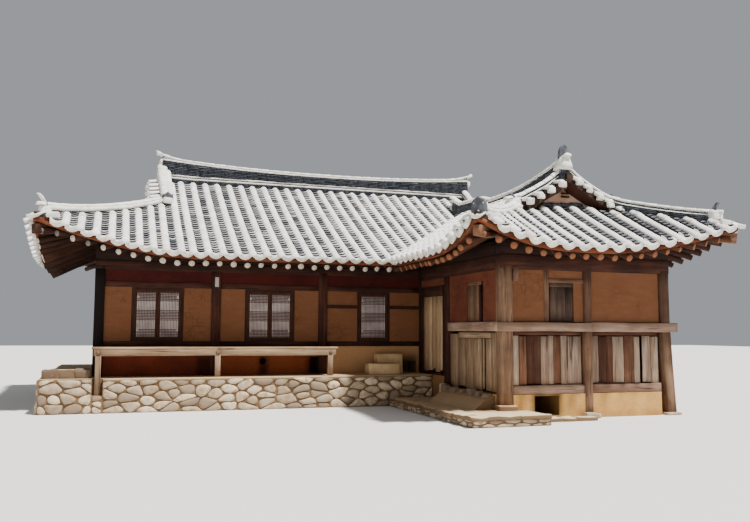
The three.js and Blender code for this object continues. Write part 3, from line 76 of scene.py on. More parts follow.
floor_mesh = bpy.data.meshes.new("floor")
FLOOR_REACH, FLOOR_LEVEL = 70, -0.002
floor_corners = [(x * FLOOR_REACH, y * FLOOR_REACH, FLOOR_LEVEL) for x, y in ((-1, -1), (1, -1), (1, 1), (-1, 1))]
floor_mesh.from_pydata(floor_corners, [], [(0, 1, 2, 3)])
floor = bpy.data.objects.new("floor", floor_mesh)
bpy.context.scene.collection.objects.link(floor)
floor_paint = bpy.data.materials.new("floor")
floor_paint.use_nodes = True
floor_shader = floor_paint.node_tree.nodes["Principled BSDF"]
floor_shader.inputs["Base Color"].default_value = (0.74, 0.73, 0.71, 1)
floor_shader.inputs["Roughness"].default_value = 0.9
floor_mesh.materials.append(floor_paint)

sky = bpy.data.worlds.new("sky")
sky.use_nodes = True
sky.node_tree.nodes["Background"].inputs["Color"].default_value = (0.86, 0.9, 0.95, 1)
sky.node_tree.nodes["Background"].inputs["Strength"].default_value = 0.40
bpy.context.scene.world = sky


def add_sun(name, direction, strength, softness, colour):
    light = bpy.data.lights.new(name, "SUN")
    light.energy = strength
    light.angle = math.radians(softness)
    light.color = colour
    sun = bpy.data.objects.new(name, light)
    sun.rotation_euler = Vector(direction).to_track_quat("-Z", "Y").to_euler()
    bpy.context.scene.collection.objects.link(sun)


add_sun("high_sun", (-0.33, 0.38, -1.0), 9.0, 3, (1.0, 0.97, 0.92))
add_sun("yard_fill", (0.1, 1.0, -0.12), 0.30, 60, (1.0, 0.93, 0.84))


# Stone terrace. Field stones of all sizes are laid in tan mud around an earth fill.
# Their rounded faces stand a little proud of the joints, and trodden mud closes the top.
class Wire:
    """One value on its way through a finish."""

    def __init__(self, finish, socket):
        self.finish = finish
        self.socket = socket

    def maths(self, operation, other, turned=False):
        first, second = (other, self) if turned else (self, other)
        return self.finish.node("ShaderNodeMath", {"operation": operation}, {0: first, 1: second})

    def __add__(self, other):
        return self.maths("ADD", other)

    def __sub__(self, other):
        return self.maths("SUBTRACT", other)

    def __rsub__(self, other):
        return self.maths("SUBTRACT", other, turned=True)

    def __mul__(self, other):
        return self.maths("MULTIPLY", other)

    def most(self, other):
        return self.maths("MAXIMUM", other)

    def above(self, edge, soft):
        """0 below the edge, 1 above it, with a soft step between."""
        return self.finish.node("ShaderNodeMapRange", {"interpolation_type": "SMOOTHSTEP"}, {
            "Value": self, "From Min": edge - soft, "From Max": edge + soft})

    def between(self, low, high, soft):
        return self.above(low, soft) * (1 - self.above(high, soft))

    def stretched(self, x, y, z):
        return self.finish.node("ShaderNodeVectorMath", {"operation": "MULTIPLY"}, {0: self, 1: (x, y, z)})


class Finish:
    """A material, painted by arithmetic on each point's own place. Its colours are given as
    a painter mixes them: red, green and blue, 0 to 255."""

    def __init__(self, name, roughness=0.9):
        self.material = bpy.data.materials.new(name)
        self.material.use_nodes = True
        self.tree = self.material.node_tree
        self.shader = self.tree.nodes["Principled BSDF"]
        self.shader.inputs["Roughness"].default_value = roughness
        self.shader.inputs["Specular IOR Level"].default_value = 0.25
        self.place = self.node("ShaderNodeTexCoord", out="Object")

    def node(self, kind, settings=None, sockets=None, out=0):
        made = self.tree.nodes.new(kind)
        for key, value in (settings or {}).items():
            setattr(made, key, value)
        for key, value in (sockets or {}).items():
            if isinstance(value, Wire):
                self.tree.links.new(value.socket, made.inputs[key])
            else:
                made.inputs[key].default_value = value
        return Wire(self, made.outputs[out])

    def noise(self, scale, detail=3.0, roughness=0.55, place=None):
        return self.node("ShaderNodeTexNoise", {}, {
            "Vector": place or self.place, "Scale": scale, "Detail": detail, "Roughness": roughness})

    def along(self, axis):
        """The distance from the house's corner, so that places read as in the plan."""
        reach = self.node("ShaderNodeSeparateXYZ", {}, {0: self.place}, out=axis)
        return reach - HOUSE["XYZ".index(axis)]

    def facing(self, axis):
        normal = self.node("ShaderNodeNewGeometry", out="True Normal")
        return self.node("ShaderNodeSeparateXYZ", {}, {0: normal}, out=axis)

    def own(self, name, out="Fac"):
        return self.node("ShaderNodeAttribute", {"attribute_name": name}, out=out)

    def mix(self, factor, first, second):
        tones = [paint(*tone) if isinstance(tone, tuple) else tone for tone in (first, second)]
        return self.node("ShaderNodeMix", {"data_type": "RGBA"}, {0: factor, 6: tones[0], 7: tones[1]}, out=2)

    def colour(self, value):
        self.tree.links.new(value.socket, self.shader.inputs["Base Color"])

    def relief(self, height, depth, strength=1.0):
        bump = self.node("ShaderNodeBump", {}, {
            "Height": height, "Distance": depth, "Strength": strength}, out="Normal")
        self.tree.links.new(bump.socket, self.shader.inputs["Normal"])


def paint(red, green, blue, share=1.0):
    """A mixed colour, 0 to 255, turned to light, or to a share of that light."""
    return tuple((c / 255) ** 2.2 * share for c in (red, green, blue)) + (1.0,)


def dress(finish, *nodes):
    """Gives a finish to pieces that keep the shape they have."""
    for node in nodes:
        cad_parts[node].data.materials.clear()
        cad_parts[node].data.materials.append(finish.material)


def add_piece(name, heap, finish, slot, body="house", instead_of=None):
    """Makes one piece of a heap. It moves with its body and may take a plain node's place."""
    mesh = heap.mesh(name)
    mesh.materials.append(finish.material)
    piece = bpy.data.objects.new(name, mesh)
    bpy.context.scene.collection.objects.link(piece)
    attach(piece, body)
    if instead_of:
        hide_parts(instead_of)


class Heap:
    """Closed forms gathered into one mesh, with a tint for each form. Sawn faces are marked
    as cut, and wood keeps each point's place in the grain of its own timber."""

    def __init__(self):
        self.points, self.faces, self.tint, self.cut, self.wood = [], [], [], [], []

    def add(self, points, faces, tint, cut=(), wood=None):
        first = len(self.points)
        self.points += [tuple(p) for p in points]
        self.faces += [tuple(first + i for i in face) for face in faces]
        self.tint += [tint] * len(faces)
        self.cut += [1.0 if i in cut else 0.0 for i in range(len(faces))]
        self.wood += [tuple(w) for w in wood] if wood else [(0.0, 0.0, 0.0)] * len(points)

    def mesh(self, name):
        mesh = bpy.data.meshes.new(name)
        mesh.from_pydata(self.points, [], self.faces)
        mesh.attributes.new("tint", "FLOAT", "FACE").data.foreach_set("value", self.tint)
        mesh.attributes.new("cut", "FLOAT", "FACE").data.foreach_set("value", self.cut)
        wood = [value for place in self.wood for value in place]
        mesh.attributes.new("wood", "FLOAT_VECTOR", "POINT").data.foreach_set("vector", wood)
        mesh.polygons.foreach_set("use_smooth", [True] * len(mesh.polygons))
        shell = bmesh.new()
        shell.from_mesh(mesh)
        bmesh.ops.recalc_face_normals(shell, faces=shell.faces)
        shell.to_mesh(mesh)
        shell.free()
        return mesh


bed = Finish("terrace_mud", 0.95)
bed_grain = bed.noise(34.0, 5.0)
bed_stain = bed.noise(1.6, 3.0)
bed_tread = bed.mix(bed_stain, (176, 150, 116), (204, 178, 142))
by_the_boards = bed.along("X").above(6.86, 0.16) * (1 - bed.along("Y").above(-1.1, 0.3))
bed_tread = bed.mix(by_the_boards * 0.8, bed_tread, (170, 130, 100))
# painted sunlight: upward faces of the platform's front strip are paler
painted_sun_on_front = (1 - bed.along("Y").above(-4.25, 0.35)) * bed.facing("Z").above(0.2, 0.3)
bed_tread = bed.mix(painted_sun_on_front, bed_tread, (226, 208, 174))
bed_tread = bed.mix(bed.facing("Z").above(0.5, 0.25), (114, 92, 70), bed_tread)
bed.colour(bed.mix(bed_grain * 0.5, bed_tread, (120, 94, 68)))
bed.relief(bed_grain, 0.02, 0.8)

field_stone = Finish("field_stone", 0.85)
stone_cloud = field_stone.noise(9.0, 5.0, 0.65)
stone_grit = field_stone.noise(120.0, 3.0, 0.7)
stone_warm = field_stone.mix(field_stone.own("tint"), (128, 112, 96), (232, 212, 180))
stone_worn = field_stone.mix(stone_cloud.above(0.55, 0.12) * 0.8, stone_warm, (150, 122, 92))
# painted shade under the eave: the stones at the terrace's left end, above the terrace top, are darker
painted_eave_shade = (1 - field_stone.along("X").above(-0.05, 0.1)) * field_stone.along("Z").above(0.68, 0.01)
stone_worn = field_stone.mix(painted_eave_shade * 0.8, stone_worn, (92, 76, 64))
field_stone.colour(field_stone.mix(stone_grit * 0.35, stone_worn, (92, 80, 70)))
field_stone.relief(stone_cloud * 0.7 + stone_grit * 0.3, 0.02, 0.6)


def cut_by_line(outline, middle, normal):
    """The part of a convex outline on the near side of a line."""
    kept = []
    for i, here in enumerate(outline):
        there = outline[(i + 1) % len(outline)]
        side_here = (here - middle).dot(normal)
        side_there = (there - middle).dot(normal)
        if side_here <= 0:
            kept.append(here)
        if side_here * side_there < 0:
            kept.append(here + (there - here) * (side_here / (side_here - side_there)))
    return kept


def stone_outlines(length, height, wide, tall, seed):
    """Cells around scattered middles; what is left between them is the mortar."""
    dice = random.Random(seed)
    middles = []
    stretch = wide / tall
    for _ in range(int(60 * length * height / (wide * tall)) + 40):
        candidate = Vector((dice.uniform(0, length), dice.uniform(0, height)))
        reach = tall * dice.uniform(0.5, 1.1)
        if all(Vector(((candidate.x - m.x) / stretch, candidate.y - m.y)).length > reach for m in middles):
            middles.append(candidate)
    for middle in middles:
        cell = [Vector((0, 0)), Vector((length, 0)), Vector((length, height)), Vector((0, height))]
        for other in middles:
            apart = other - middle
            if other is not middle and abs(apart.x) < 3 * wide and abs(apart.y) < 3 * tall:
                cell = cut_by_line(cell, (middle + other) / 2, Vector((apart.x / stretch ** 2, apart.y)))
                if len(cell) < 3:
                    break
        if len(cell) >= 3:
            yield cell


def rounded(outline, keep=0.27):
    softened = []
    for i, here in enumerate(outline):
        there = outline[(i + 1) % len(outline)]
        softened += [here.lerp(there, keep), here.lerp(there, 1 - keep)]
    return softened


EAST, NORTH, UP = Vector((1, 0, 0)), Vector((0, 1, 0)), Vector((0, 0, 1))
WEST, SOUTH = -EAST, -NORTH


def skin(count, rings):
    """Faces between rings that have the same number of points."""
    faces = []
    for first in range(0, (rings - 1) * count, count):
        for i in range(count):
            a, b = first + i, first + (i + 1) % count
            faces.append((a, b, b + count, a + count))
    return faces


def closed_skin(count, rings):
    last = (rings - 1) * count
    return skin(count, rings) + [tuple(range(count - 1, -1, -1)), tuple(range(last, last + count))]


SMALLEST_STONE, STONE_MARGIN = 0.03, 0.004


def lay_stones(heap, corner, along, out, length, height, seed, wide=0.44, tall=0.225, proud=0.05):
    """Domed stones over one upright face, from its lower corner."""
    dice = random.Random(seed + 1)
    for cell in stone_outlines(length, height, wide, tall, seed):
        middle = sum(cell, Vector((0, 0))) / len(cell)
        joint = dice.uniform(0.003, 0.013)
        size = max((p - middle).length for p in cell)
        if size < SMALLEST_STONE:
            continue
        shrink = max(0.5, 1 - 1.7 * joint / (size * 0.6))
        outline = rounded(rounded([middle + (p - middle) * shrink for p in cell]))
        bulge = proud * dice.uniform(0.55, 1.15) * min(1.0, size / 0.2)
        lean = Vector((dice.uniform(-0.25, 0.25), dice.uniform(-0.25, 0.25))) * size
        points = []
        # how much of its outline a ring keeps, and how far it stands out of the wall
        rings = [(1.0, -0.03), (0.99, 0.25 * bulge), (0.86, 0.75 * bulge), (0.55, bulge)]
        for scale, height_out in rings:
            for p in outline:
                wobble = 1 + dice.uniform(-0.03, 0.03)
                flat = middle + (p - middle) * scale * wobble + lean * (1 - scale) * 0.4
                flat = [min(max(v, STONE_MARGIN), most - STONE_MARGIN) for v, most in zip(flat, (length, height))]
                points.append(corner + along * flat[0] + UP * flat[1] + out * height_out)
        faces = closed_skin(len(outline), len(rings))
        if along.cross(UP).dot(out) < 0:
            faces = [face[::-1] for face in faces]
        heap.add(points, faces, dice.random())


BLOCK_SOFTEST = 0.3
NOISE_SEED = 7
# Blender seeds its vector noise from the clock unless it is given a seed
noise.seed_set(NOISE_SEED)


def block(heap, low, high, rounding, wobble, seed, tint=0.5):
    """A rough stone or lump with rounded edges, filling the box from low to high."""
    ticks = []
    for k in range(3):
        size = high[k] - low[k]
        soft = min(rounding, size * BLOCK_SOFTEST)
        inner = [low[k] + soft + (size - 2 * soft) * i / 3 for i in range(4)]
        ticks.append([low[k], low[k] + 0.3 * soft] + inner + [high[k] - 0.3 * soft, high[k]])
    last = len(ticks[0]) - 1
    index, points, faces = {}, [], []
    soft = min(rounding, min(high[k] - low[k] for k in range(3)) * BLOCK_SOFTEST)

    def corner_of(i, j, k):
        key = (i, j, k)
        if key not in index:
            raw = Vector((ticks[0][i], ticks[1][j], ticks[2][k]))
            inside = Vector(min(max(raw[a], low[a] + soft), high[a] - soft) for a in range(3))
            out = raw - inside
            place = inside + out.normalized() * soft if out.length > 0 else raw
            drift = noise.noise_vector(place * 4.0 + Vector((seed * 3.7, seed * 1.3, 0)))
            index[key] = len(points)
            points.append(place + drift * wobble)
        return index[key]

    for a in range(last):
        for b in range(last):
            for end in (0, last):
                quads = (
                    [(end, a, b), (end, a + 1, b), (end, a + 1, b + 1), (end, a, b + 1)],
                    [(a, end, b), (a, end, b + 1), (a + 1, end, b + 1), (a + 1, end, b)],
                    [(a, b, end), (a + 1, b, end), (a + 1, b + 1, end), (a, b + 1, end)],
                )
                for quad in quads:
                    face = tuple(corner_of(*q) for q in quad)
                    faces.append(face if end else face[::-1])
    heap.add(points, faces, tint)


def closed_path(heap, stations, tint=0.5):
    """A solid skin over sections that all have the same number of points."""
    heap.add([p for section in stations for p in section], closed_skin(len(stations[0]), len(stations)), tint)


TERRACE_TOP = 0.67
dress(bed, "main_terrace")
stones = Heap()
front_faces = [(-1.05, 0.98, 0.662), (-0.07, 0.20, 0.34), (0.13, 7.01, 0.655)]
for i, (x, length, height) in enumerate(front_faces):
    lay_stones(stones, spot(x, -0.8, 0), EAST, SOUTH, length, height, 31 + i)
lay_stones(stones, spot(-1.05, 6.5, 0), SOUTH, WEST, 7.3, TERRACE_TOP, 13)
lay_stones(stones, spot(7.15, 6.5, 0), WEST, NORTH, 8.2, TERRACE_TOP, 14)
# three flat stones stand on the terrace's left end
# their low tints give them the darker stone colours, partly painted shade under the eave
for i, (x0, x1, top) in enumerate([(-1.02, -0.70, 0.85), (-0.69, -0.42, 0.83), (-0.41, -0.11, 0.855)]):
    block(stones, spot(x0, -0.575, TERRACE_TOP - 0.02), spot(x1, -0.19, top), 0.045, 0.025, i, 0.05 + 0.1 * i)
add_piece("terrace_stones", stones, field_stone, "field_stone")

lip = Heap()
lip_stations = []
for i in range(68):
    x = 0.14 + 7.0 * i / 67
    swell = 0.016 * noise.noise(Vector((x * 2.3, 0, 1))) + 0.008 * noise.noise(Vector((x * 9, 4, 1)))
    section = [(-0.62, 0.6), (-0.82, 0.6), (-0.832 - swell, 0.63), (-0.822 - swell, 0.656),
               (-0.79, 0.676 + swell * 0.5), (-0.62, 0.674)]
    lip_stations.append([spot(x, y, z) for y, z in section])
closed_path(lip, lip_stations)
add_piece("terrace_mud_edge", lip, bed, "field_stone")


# Low platform of rammed mud with a rough stone edge, in the corner in front of the wing.
# Trodden slabs of mud close its rim, and small stones lie along the foot of the wall.
dress(bed, "wing_platform")
edging, crust = Heap(), Heap()
lay_stones(edging, spot(6.12, -0.8, 0), SOUTH, WEST, 4.19, 0.13, 51, wide=0.36, tall=0.12, proud=0.03)
lay_stones(edging, spot(6.12, -4.99, 0), EAST, SOUTH, 1.53, 0.13, 52, wide=0.36, tall=0.12, proud=0.03)
SLAB_FOOT, SLAB_TOP, SLAB_JOINT, SLAB_ROUNDING = 0.115, 0.2, 0.006, 0.035
rim = random.Random(8)


def rim_slab(near, far):
    """One slab of the rim between two corners in the plan, with a top of its own height."""
    block(crust, spot(*near, SLAB_FOOT), spot(*far, SLAB_TOP + rim.uniform(-0.012, 0.008)),
          SLAB_ROUNDING, 0.03, rim.random() * 90)


reached = -0.86
while reached > -4.9:
    long = min(rim.uniform(0.45, 0.85), reached + 5.04)
    rim_slab((6.06 + rim.uniform(-0.03, 0.03), reached - long), (6.40, reached))
    reached -= long + SLAB_JOINT
reached = 6.36
while reached < 7.5:
    long = min(rim.uniform(0.4, 0.7), 7.66 - reached)
    rim_slab((reached, -5.04 + rim.uniform(-0.02, 0.02)), (reached + long, -4.7))
    reached += long + SLAB_JOINT
for x0, x1 in [(7.72, 8.12), (8.16, 8.42), (8.47, 8.86)]:
    block(crust, spot(x0, -4.57, 0), spot(x1, -4.36, 0.075), 0.03, 0.02, x0, 0.6)
wall_foot = [(-3.75, 0.16), (-3.42, 0.11), (-3.1, 0.2), (-2.66, 0.13), (-2.3, 0.18), (-1.86, 0.22)]
for i, (y, wide) in enumerate(wall_foot):
    block(edging, spot(6.98, y, 0.36), spot(7.13, y + wide, 0.47 + 0.02 * (i % 3)), 0.03, 0.02, 60 + i, 0.0)
block(crust, spot(7.08, -4.16, 0.16), spot(7.46, -3.88, 0.275), SLAB_ROUNDING, 0.02, 21)
add_piece("platform_crust", crust, bed, "field_stone")
add_piece("platform_stones", edging, field_stone, "field_stone")


# Two big flat stones, a low one and a higher one behind it, by which one steps up from the
# terrace to the floor. They are roughly dressed and trodden pale.
steps = Heap()
block(steps, spot(5.70, -0.65, 0.66), spot(6.42, -0.29, 0.92), 0.03, 0.02, 3)
block(steps, spot(6.00, -0.31, 0.66), spot(6.62, -0.01, 1.13), 0.03, 0.015, 5)
step_stone = Finish("step_stone", 0.9)
step_grit = step_stone.noise(60.0, 5.0, 0.7)
step_stain = step_stone.noise(3.0, 4.0, 0.6)
step_tone = step_stone.mix(step_stain.above(0.5, 0.2), (206, 176, 134), (176, 144, 104))
step_stone.colour(step_stone.mix(step_grit * 0.4, step_tone, (120, 92, 64)))
step_stone.relief(step_grit * 0.4 + step_stain * 0.6, 0.02, 0.6)
add_piece("stepping_stones", steps, step_stone, "field_stone", instead_of="stepping_stone")


# Plastered base of the wing, of pale yellow mud over stone and earth, with the black
# mouth of the kitchen's firebox in it, and flat stones under the feet of the posts.
base_mud = Finish("pale_plaster", 0.95)
base_grain = base_mud.noise(26.0, 5.0)
base_stain = base_mud.noise(2.4, 4.0, 0.65)
base_tone = base_mud.mix(base_stain.above(0.5, 0.25), (204, 162, 98), (178, 132, 74))
splash = 1 - base_mud.along("Z").above(0.10, 0.12)
soot = base_mud.along("X").between(7.80, 8.46, 0.10) * base_mud.along("Z").above(0.05, 0.1)
soot = soot * (1 - base_mud.along("Y").above(-3.0, 0.6))
base_tone = base_mud.mix(splash * base_stain, base_tone, (140, 104, 66))
base_tone = base_mud.mix(soot * 0.75, base_tone, (38, 28, 22))
base_tone = base_mud.mix(base_mud.along("Y").above(-3.7, 0.1) * 0.8, base_tone, (112, 80, 58))
base_mud.colour(base_mud.mix(base_grain * 0.35, base_tone, (150, 108, 62)))
base_mud.relief(base_grain * 0.5 + base_stain * 0.5, 0.03, 0.6)
dress(base_mud, "wing_base")

feet = Heap()
for i, (x0, x1, y0, y1, top) in enumerate([
    (8.88, 9.22, -4.24, -4.085, 0.10), (10.80, 11.14, -4.16, -3.86, 0.05), (7.02, 7.145, -1.70, -1.42, 0.52),
]):
    block(feet, spot(x0, y0, 0.0), spot(x1, y1, top), 0.035, 0.02, 22 + i, 0.4 + 0.15 * i)
add_piece("post_foot_stones", feet, field_stone, "field_stone")


# Raised floor with its fireboxes. Its face is red-brown mud, darker under the eaves and the bench, partly as
# painted shade, and blackened by smoke around each mouth.
floor_mud = Finish("heated_floor_mud", 0.95)
floor_grain = floor_mud.noise(22.0, 5.0)
floor_stain = floor_mud.noise(1.9, 4.0, 0.65)
floor_tone = floor_mud.mix(floor_stain.above(0.5, 0.2), (122, 58, 40), (98, 46, 32))
front_face = 1 - floor_mud.along("Y").above(3.0, 0.5)
# lighter right of the bench's middle leg, and tan plaster past the bench's end; the darker mud left of these is partly
# painted shade under the bench
floor_tone = floor_mud.mix(floor_mud.along("X").above(2.45, 0.06) * front_face * 0.55, floor_tone, (150, 84, 50))
floor_tone = floor_mud.mix(floor_mud.along("X").above(4.92, 0.1) * front_face, floor_tone, (176, 134, 94))
smoke = floor_mud.along("X").between(6.62, 7.1, 0.12)
for left, right, soft in ((4.44, 4.74, 0.1), (2.02, 2.33, 0.08), (3.36, 3.56, 0.08)):
    smoke = smoke.most(floor_mud.along("X").between(left, right, soft))
smoke = smoke * floor_mud.along("Z").between(0.62, 1.08, 0.12)
floor_tone = floor_mud.mix(smoke * front_face * 0.8, floor_tone, (24, 16, 12))
floor_mud.colour(floor_mud.mix(floor_grain * 0.4, floor_tone, (58, 26, 14)))
floor_mud.relief(floor_grain * 0.5 + floor_stain * 0.5, 0.03, 0.6)
dress(floor_mud, "heated_floor")


# Timber frames of squared and hewn pine: posts, sills, lintels, rails and wall plates,
# tenoned and pegged. Old smoke has darkened the main house, and rain has greyed the wing.
HEWN_STEP, WORN_EDGE = 0.3, 0.16


def hewn(heap, start, finish, wide, tall, seed, rough=0.004, sides=0, tint=None, taper=0.0):
    """One timber from start to finish, squared with worn edges, or round where sides is given."""
    dice = random.Random(seed)
    tint = dice.random() if tint is None else tint
    ahead = (finish - start).normalized()
    across = EAST if abs(ahead.z) > 0.9 else ahead.cross(UP).normalized()
    over = across.cross(ahead)
    w, t = wide / 2, tall / 2
    if sides:
        turns = [2 * math.pi * i / sides for i in range(sides)]
        outline = [(math.cos(turn) * w, math.sin(turn) * t) for turn in turns]
    else:
        c = min(w, t) * WORN_EDGE
        outline = [(w, t - c), (w - c, t), (c - w, t), (-w, t - c), (-w, c - t), (c - w, -t), (w - c, -t), (w, c - t)]
    length = (finish - start).length
    rings = max(2, int(length / HEWN_STEP) + 1)
    points, wood = [], []
    far = Vector((dice.uniform(0, 50), dice.uniform(0, 50), dice.uniform(0, 50)))
    for ring in range(rings):
        part = ring / (rings - 1)
        run = length * part
        drift = noise.noise_vector(far + Vector((run * 1.1, 0, 0))) * rough
        girth = 1 + noise.noise(far + Vector((run * 1.7, 9, 0))) * rough * 4 - taper * part
        for i, (a, b) in enumerate(outline):
            dent = noise.noise(far + Vector((run * 3.1, i * 1.9, 5))) * rough * 0.8
            scale = girth * (1 + dent / max(wide, tall) * 2)
            points.append(start + ahead * run + across * (a * scale + drift.x) + over * (b * scale + drift.y))
            wood.append((run + far.x, a + far.y, b + far.z))
    count, last = len(outline), (rings - 1) * len(outline)
    faces = [(b, a, d, c) for a, b, c, d in skin(count, rings)]
    faces += [tuple(range(count)), tuple(range(last + count - 1, last - 1, -1))]
    heap.add(points, faces, tint, cut=(len(faces) - 2, len(faces) - 1), wood=wood)


def beam(heap, x0, x1, y0, y1, z0, z1, seed, rough=0.004, tint=None):
    """A timber that fills a box, its grain along the box's longest side."""
    low, high = (x0, y0, z0), (x1, y1, z1)
    spans = [high[k] - low[k] for k in range(3)]
    longest = spans.index(max(spans))
    middle = [(low[k] + high[k]) / 2 for k in range(3)]
    start, finish = list(middle), list(middle)
    start[longest], finish[longest] = low[longest], high[longest]
    wide, tall = [span for k, span in enumerate(spans) if k != longest]
    hewn(heap, spot(*start), spot(*finish), wide, tall, seed, rough, tint=tint)


def old_wood(name, dark, middle, light, end_grain, weathered=0.5, streak=1.0):
    """Timber with its grain along each piece, stains, cracks, and rings on the sawn ends."""
    finish = Finish(name, 0.85)
    grain = finish.own("wood", "Vector")
    fine = finish.noise(1.0, 6.0, 0.65, grain.stretched(2.2, 46.0, 46.0))
    broad = finish.noise(1.0, 4.0, 0.6, grain.stretched(0.7, 9.0, 9.0))
    patch = finish.noise(1.8, 3.0)
    tone = finish.mix(broad.above(0.5, 0.22), middle, light)
    tone = finish.mix(finish.own("tint") * 0.7, tone, dark)
    tone = finish.mix(patch.above(0.52, 0.2) * weathered, tone, dark)
    crack = 1 - finish.noise(1.0, 2.0, 0.5, grain.stretched(0.9, 30.0, 30.0)).above(0.33, 0.03)
    tone = finish.mix(fine.above(0.5, 0.2) * 0.45 * streak, tone, dark)
    tone = finish.mix(crack * 0.8, tone, (*dark, 0.25))
    rings = finish.noise(1.0, 4.0, 0.5, grain.stretched(0.0, 60.0, 60.0))
    ends = finish.mix(rings.above(0.5, 0.15) * 0.45, end_grain, middle)
    # a tint near 1 also darkens the sawn ends: dark end grain on most pieces, painted shade on the logs of the front
    # eave's left corner
    ends = finish.mix(finish.own("tint").above(0.9, 0.1) * 0.7, ends, dark)
    finish.colour(finish.mix(finish.own("cut"), tone, ends))
    finish.relief(fine * 0.6 + broad * 0.4 - crack * 0.8, 0.012, 0.7)
    return finish


smoked = old_wood("smoked_pine", (20, 11, 10), (60, 33, 24), (96, 58, 44), (62, 40, 30))
greyed = old_wood("greyed_pine", (48, 25, 20), (126, 92, 70), (158, 128, 102), (112, 78, 58), 0.45)
dusty = old_wood("dusty_pine", (92, 64, 52), (158, 128, 108), (196, 170, 150), (168, 140, 116), 0.45)

BACK = 6.0
PLATE, PLATE_LIP = 2.90, 3.09
WING_PLATE, WING_LIP = 2.82, 3.10
RAILS = ((1.29, 1.40), (2.54, 2.66))
DUSTY_RAIL_TOPS = (0.63, 1.82, 1.83)
# each timber's box: from and to along x, y and z, and for some how dark it is
frames = {
    "main_front_frame": (smoked, "dark_wood", 0.003, [
        *((x, x + 0.20, 0, 0.20, 0.67, 2.95, dark)
          for x, dark in ((-0.10, 1.4), (2.30, 0.0), (4.70, 0.15), (7.15, 0.9))),
        *((x0, x1, 0.03, 0.17, *rail) for rail in RAILS for x0, x1 in ((0.09, 2.31), (2.49, 4.71), (4.89, 7.16))),
        (-0.10, 7.35, 0, 0.20, PLATE, PLATE_LIP),
    ]),
    "main_left_frame": (smoked, "dark_wood", 0.003, [
        (-0.10, 0.10, 2.90, 3.10, 0.67, 2.95), *((-0.07, 0.07, 0.2, 5.8, *rail) for rail in RAILS),
        (-0.10, 0.10, 0.2, 5.8, PLATE, PLATE_LIP),
    ]),
    "main_back_frame": (smoked, "dark_wood", 0.003, [
        *((x, x + 0.20, 5.8, BACK, 0.67, 2.95) for x in (-0.10, 2.30, 4.70)),
        *((x, x + 0.20, 5.8, BACK, 0.46, 2.95) for x in (7.15, 8.90)),
        *((-0.10, 10.77, 5.83, 5.97, *rail) for rail in RAILS), (-0.10, 10.77, 5.8, BACK, PLATE, PLATE_LIP),
    ]),
    "right_frame": (greyed, "grey_wood", 0.005, [
        *((10.77, 10.97, y, y + 0.20, 0.46, 2.87) for y in (-1.64, 0, 2.90, 5.8)),
        (10.80, 10.94, -3.88, BACK, 0.46, 0.63), (10.80, 10.94, -3.88, BACK, 1.645, 1.83),
        (10.77, 10.97, -3.88, BACK, WING_PLATE, WING_LIP),
    ]),
    "wing_left_frame": (smoked, "dark_wood", 0.002, [
        (7.15, 7.35, -1.64, -1.44, 0.46, 2.87), (7.18, 7.32, -0.10, -0.001, 0.67, 2.66),
        (7.18, 7.32, -1.44, -1.28, 0.67, 2.66), (7.18, 7.32, -1.29, -0.09, 2.44, 2.66),
        (7.18, 7.32, -1.29, -0.09, 0.67, 0.72), (7.15, 7.35, -3.88, -1.635, 1.645, 1.83),
        (7.15, 7.35, -3.88, -0.001, WING_PLATE, WING_LIP),
    ]),
    "wing_front_frame": (greyed, "grey_wood", 0.008, [
        (7.15, 7.41, -4.08, -3.88, 0.27, 2.87, 0.15), (8.97, 9.14, -4.08, -3.88, 0, 1.70, 0.1),
        (8.97, 9.14, -4.08, -3.88, 1.69, 2.87, 0.8), (10.755, 10.97, -4.08, -3.88, 1.66, 2.87, 1.0),
        (7.43, 7.53, -4.11, -3.95, 2.60, 2.86, 0.7), (7.40, 8.98, -4.05, -3.88, 0.46, 0.63),
        (9.13, 10.745, -4.05, -3.88, 0.46, 0.63), (7.06, 9.10, -4.115, -3.96, 1.65, 1.82),
        (9.02, 11.13, -4.105, -3.97, 1.645, 1.83), (8.11, 8.21, -4.05, -3.96, 1.82, 2.83, 0.4),
        (8.20, 8.98, -4.05, -3.96, 2.58, 2.66, 0.4), (7.15, 10.97, -4.08, -3.88, WING_PLATE, WING_LIP, 0.2),
    ]),
}
# the timber on each wall plate that the logs rest on: its box in the plan and its foot
purlins = {
    "main_front_frame": (-0.10, 7.35, 0.02, 0.18, PLATE_LIP), "main_left_frame": (-0.08, 0.08, 0.2, 5.8, PLATE_LIP),
    "main_back_frame": (-0.10, 10.77, 5.82, 5.98, PLATE_LIP), "right_frame": (10.79, 10.95, -3.88, BACK, WING_LIP),
    "wing_left_frame": (7.17, 7.33, -3.88, -0.001, WING_LIP), "wing_front_frame": (7.15, 10.97, -4.06, -3.90, WING_LIP),
}
for number, (node, (finish, slot, rough, timbers)) in enumerate(frames.items()):
    heap, rails, plates = Heap(), Heap(), Heap()
    # on the greyed frames, the wall plate and the purlin go into a heap of their own with the dark smoked finish
    plate_heap = plates if finish is greyed else heap
    for i, timber in enumerate(timbers):
        foot, top = timber[4:6]
        into = rails if top in DUSTY_RAIL_TOPS else plate_heap if foot == WING_PLATE else heap
        beam(into, *timber[:6], seed=100 * number + i, rough=rough, tint=timber[6] if timber[6:] else None)
    if node == "wing_front_frame":
        # the right corner post leans in its lower length
        hewn(heap, spot(10.875, -3.98, 1.68), spot(10.985, -3.98, 0.0), 0.21, 0.2, 90, 0.006, tint=0.35)
    *plan, foot = purlins[node]
    beam(plate_heap, *plan, foot - 0.01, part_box(node)[1][2], seed=100 * number + 50, rough=0.002, tint=1.0)
    add_piece(node + "_timbers", heap, finish, slot, instead_of=node)
    if rails.points:
        add_piece(node + "_rails", rails, dusty, "grey_wood")
    if plates.points:
        add_piece(node + "_plates", plates, smoked, "dark_wood")


